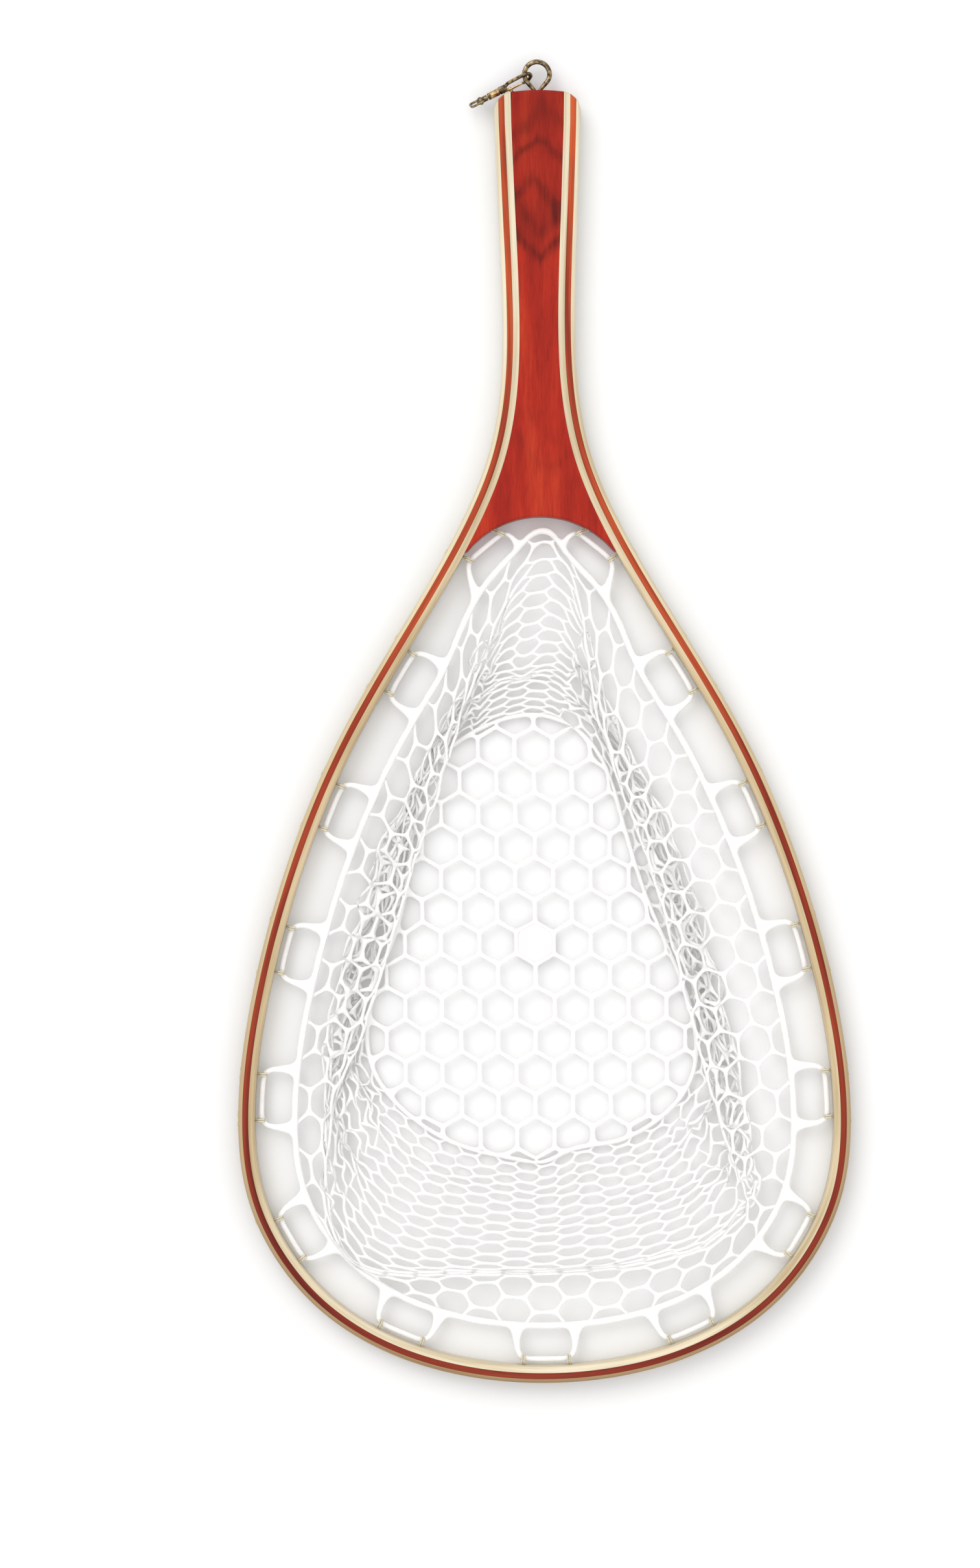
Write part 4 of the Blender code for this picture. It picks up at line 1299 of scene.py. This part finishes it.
STAGE_REACH = 40.0
STAGE_DEPTH = 0.0003
CAMERA_HEIGHT = 2.2
CAMERA_AT = (-0.025, -0.0303)
FRAME_HEIGHT = 0.7516
ROLL = -0.00710
KEY_STRENGTH = 0.95
KEY_ANGLE = 38
KEY_FROM = (-0.6, 0.85, 1.05)
SKY_CLIMB = {"From Min": 0.0, "From Max": 0.9, "To Min": 0.8, "To Max": 1.52}


def stage_floor():
    """A plain pale floor that stays under the bag's floor."""
    shape = bmesh.new()
    bmesh.ops.create_grid(shape, x_segments=4, y_segments=4, size=STAGE_REACH)
    paint = Painter("stage_white", 0.9, Specular_IOR_Level=0.0)
    cloud = paint.noise(paint.where(), 3.0, 2.0)
    colour = paint.ramp(cloud, [(0.0, grey(0.695)), (1.0, grey(0.715))])
    floor = mesh_object("stage_floor", shape, paint.finish(colour), sharp=0)
    floor.location.z = -STAGE_DEPTH
    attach(floor, "bag_floor")


def camera():
    data = bpy.data.cameras.new("camera")
    data.sensor_width = 36.0
    data.lens = data.sensor_width * (CAMERA_HEIGHT - THICKNESS * MM) / FRAME_HEIGHT
    data.clip_end = 50.0
    made = add_object("camera", data)
    made.location = (*CAMERA_AT, CAMERA_HEIGHT)
    made.rotation_euler = (0.0, 0.0, ROLL)
    bpy.context.scene.camera = made


def light():
    scene = bpy.context.scene
    scene.view_settings.view_transform = "Standard"
    data = bpy.data.lights.new("key", "SUN")
    data.energy = KEY_STRENGTH
    data.angle = math.radians(KEY_ANGLE)
    key = add_object("key", data)
    key.rotation_mode = "QUATERNION"
    key.rotation_quaternion = Vector(KEY_FROM).to_track_quat("Z", "Y")
    sky = bpy.data.worlds.new("studio")
    sky.use_nodes = True
    tree = sky.node_tree
    kinds = ("ShaderNodeTexCoord", "ShaderNodeSeparateXYZ", "ShaderNodeMapRange")
    place, parts, climb = [tree.nodes.new(kind) for kind in kinds]
    tree.links.new(place.outputs["Generated"], parts.inputs["Vector"])
    tree.links.new(parts.outputs["Z"], climb.inputs["Value"])
    for socket, value in SKY_CLIMB.items():
        climb.inputs[socket].default_value = value
    background = tree.nodes["Background"]
    tree.links.new(climb.outputs["Result"], background.inputs["Strength"])
    background.inputs["Color"].default_value = (1.0, 1.0, 1.0, 1.0)
    scene.world = sky


# Assembly


def fit_in(obj, body, slot, *nodes):
    """The piece rides on its body, if it has one, and stands for the CAD nodes; the slot is not used."""
    if body:
        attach(obj, body)
    if nodes:
        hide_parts(*nodes)


def hole_cutter(ties):
    shape = bmesh.new()
    for tie in ties:
        add_rod(shape, tie.at(HOLE_INNER_END, 0), tie.at(tie.reach + 1, 0), DRILL_RADIUS * MM, DRILL_SIDES)
    return mesh_object("hole_cutter", shape, None)


def build_wood(ties):
    first = round(ties[0].station * (WOOD_STATIONS - 1) / (FINE_STATIONS - 1))
    cutter = hole_cutter(ties)
    for name, depths, slot, node, look in STRIPS:
        piece = strip(name, section_depths(*depths), strip_wood(slot + "_grain", *look), first)
        cut(piece, cutter)
        fit_in(piece, "frame", slot, node)
    bpy.data.objects.remove(cutter)
    fit_in(core_piece(core_wood("handle_red_grain")), "frame", "handle_red", "handle_core")


def build_bag(tabs):
    rubber = moulded_rubber("clear_rubber_moulded")
    fit_in(rim_and_tabs(tabs, rubber), "frame", "clear_rubber", "bag_rim")
    fit_in(wall_piece(tabs, rubber), None, "clear_rubber", "bag_wall")
    fit_in(floor_piece(rubber), "bag_floor", "clear_rubber", "bag_base")
    fit_in(solid_cell(rubber), "bag_floor", "clear_rubber")


def turned(name, profile, material, flutes=0):
    """A turned piece round the snap's own axis: its profile holds places along the axis and radii."""
    joint = next(j for j in frame["record"]["behaviour"]["joints"] if j["name"] == "bail_spin")
    start, axis = Vector(joint["pos_m"]), Vector(joint["axis"]).normalized()
    across = axis.orthogonal().normalized()
    turns = [2 * math.pi * k / TURNED_SIDES for k in range(TURNED_SIDES)]
    waves = [FLUTE_DEPTH * math.cos(flutes * turn) * bool(flutes) for turn in turns]
    rings = []
    for s, radius in profile:
        reaches = [(radius + wave) * MM for wave in waves]
        rings.append(circle(start + axis * s * MM, across, axis.cross(across), reaches))
    shape = bmesh.new()
    add_skin(shape, rings)
    return mesh_object(name, shape, material, sharp=TURNED_SHARP_ANGLE)


def build_fittings():
    dark = aged_brass("dark_brass_aged", (0.34, 0.25, 0.13), (0.035, 0.026, 0.018), 0.52)
    bright = aged_brass("bright_brass_rubbed", (0.56, 0.39, 0.19), (0.2, 0.13, 0.06), 0.46)
    looks = {
        dark: ("screw_eye", "snap_body", "swivel_post", "swivel_bail"),
        bright: ("gate_pin", "gate_spring", "snap_gate"),
    }
    for material, names in looks.items():
        for name in names:
            for slot in frame["nodes"][name].material_slots:
                slot.material = material
    fit_in(turned("swivel_knob", KNOB_PROFILE, dark), "snap", "dark_brass")
    fit_in(turned("barrel_sleeve", SLEEVE_PROFILE, bright, SLEEVE_FLUTES), "snap", "bright_brass")


def build():
    camera()
    light()
    stage_floor()
    inside = HoopInside()
    tabs = all_tabs(inside)
    ties = all_ties(inside, tabs)
    build_wood(ties)
    build_bag(tabs)
    fit_in(lacing_piece(inside, ties, twine("lacing_twisted")), "frame", "lacing", "lacing_cord")
    build_fittings()


build()
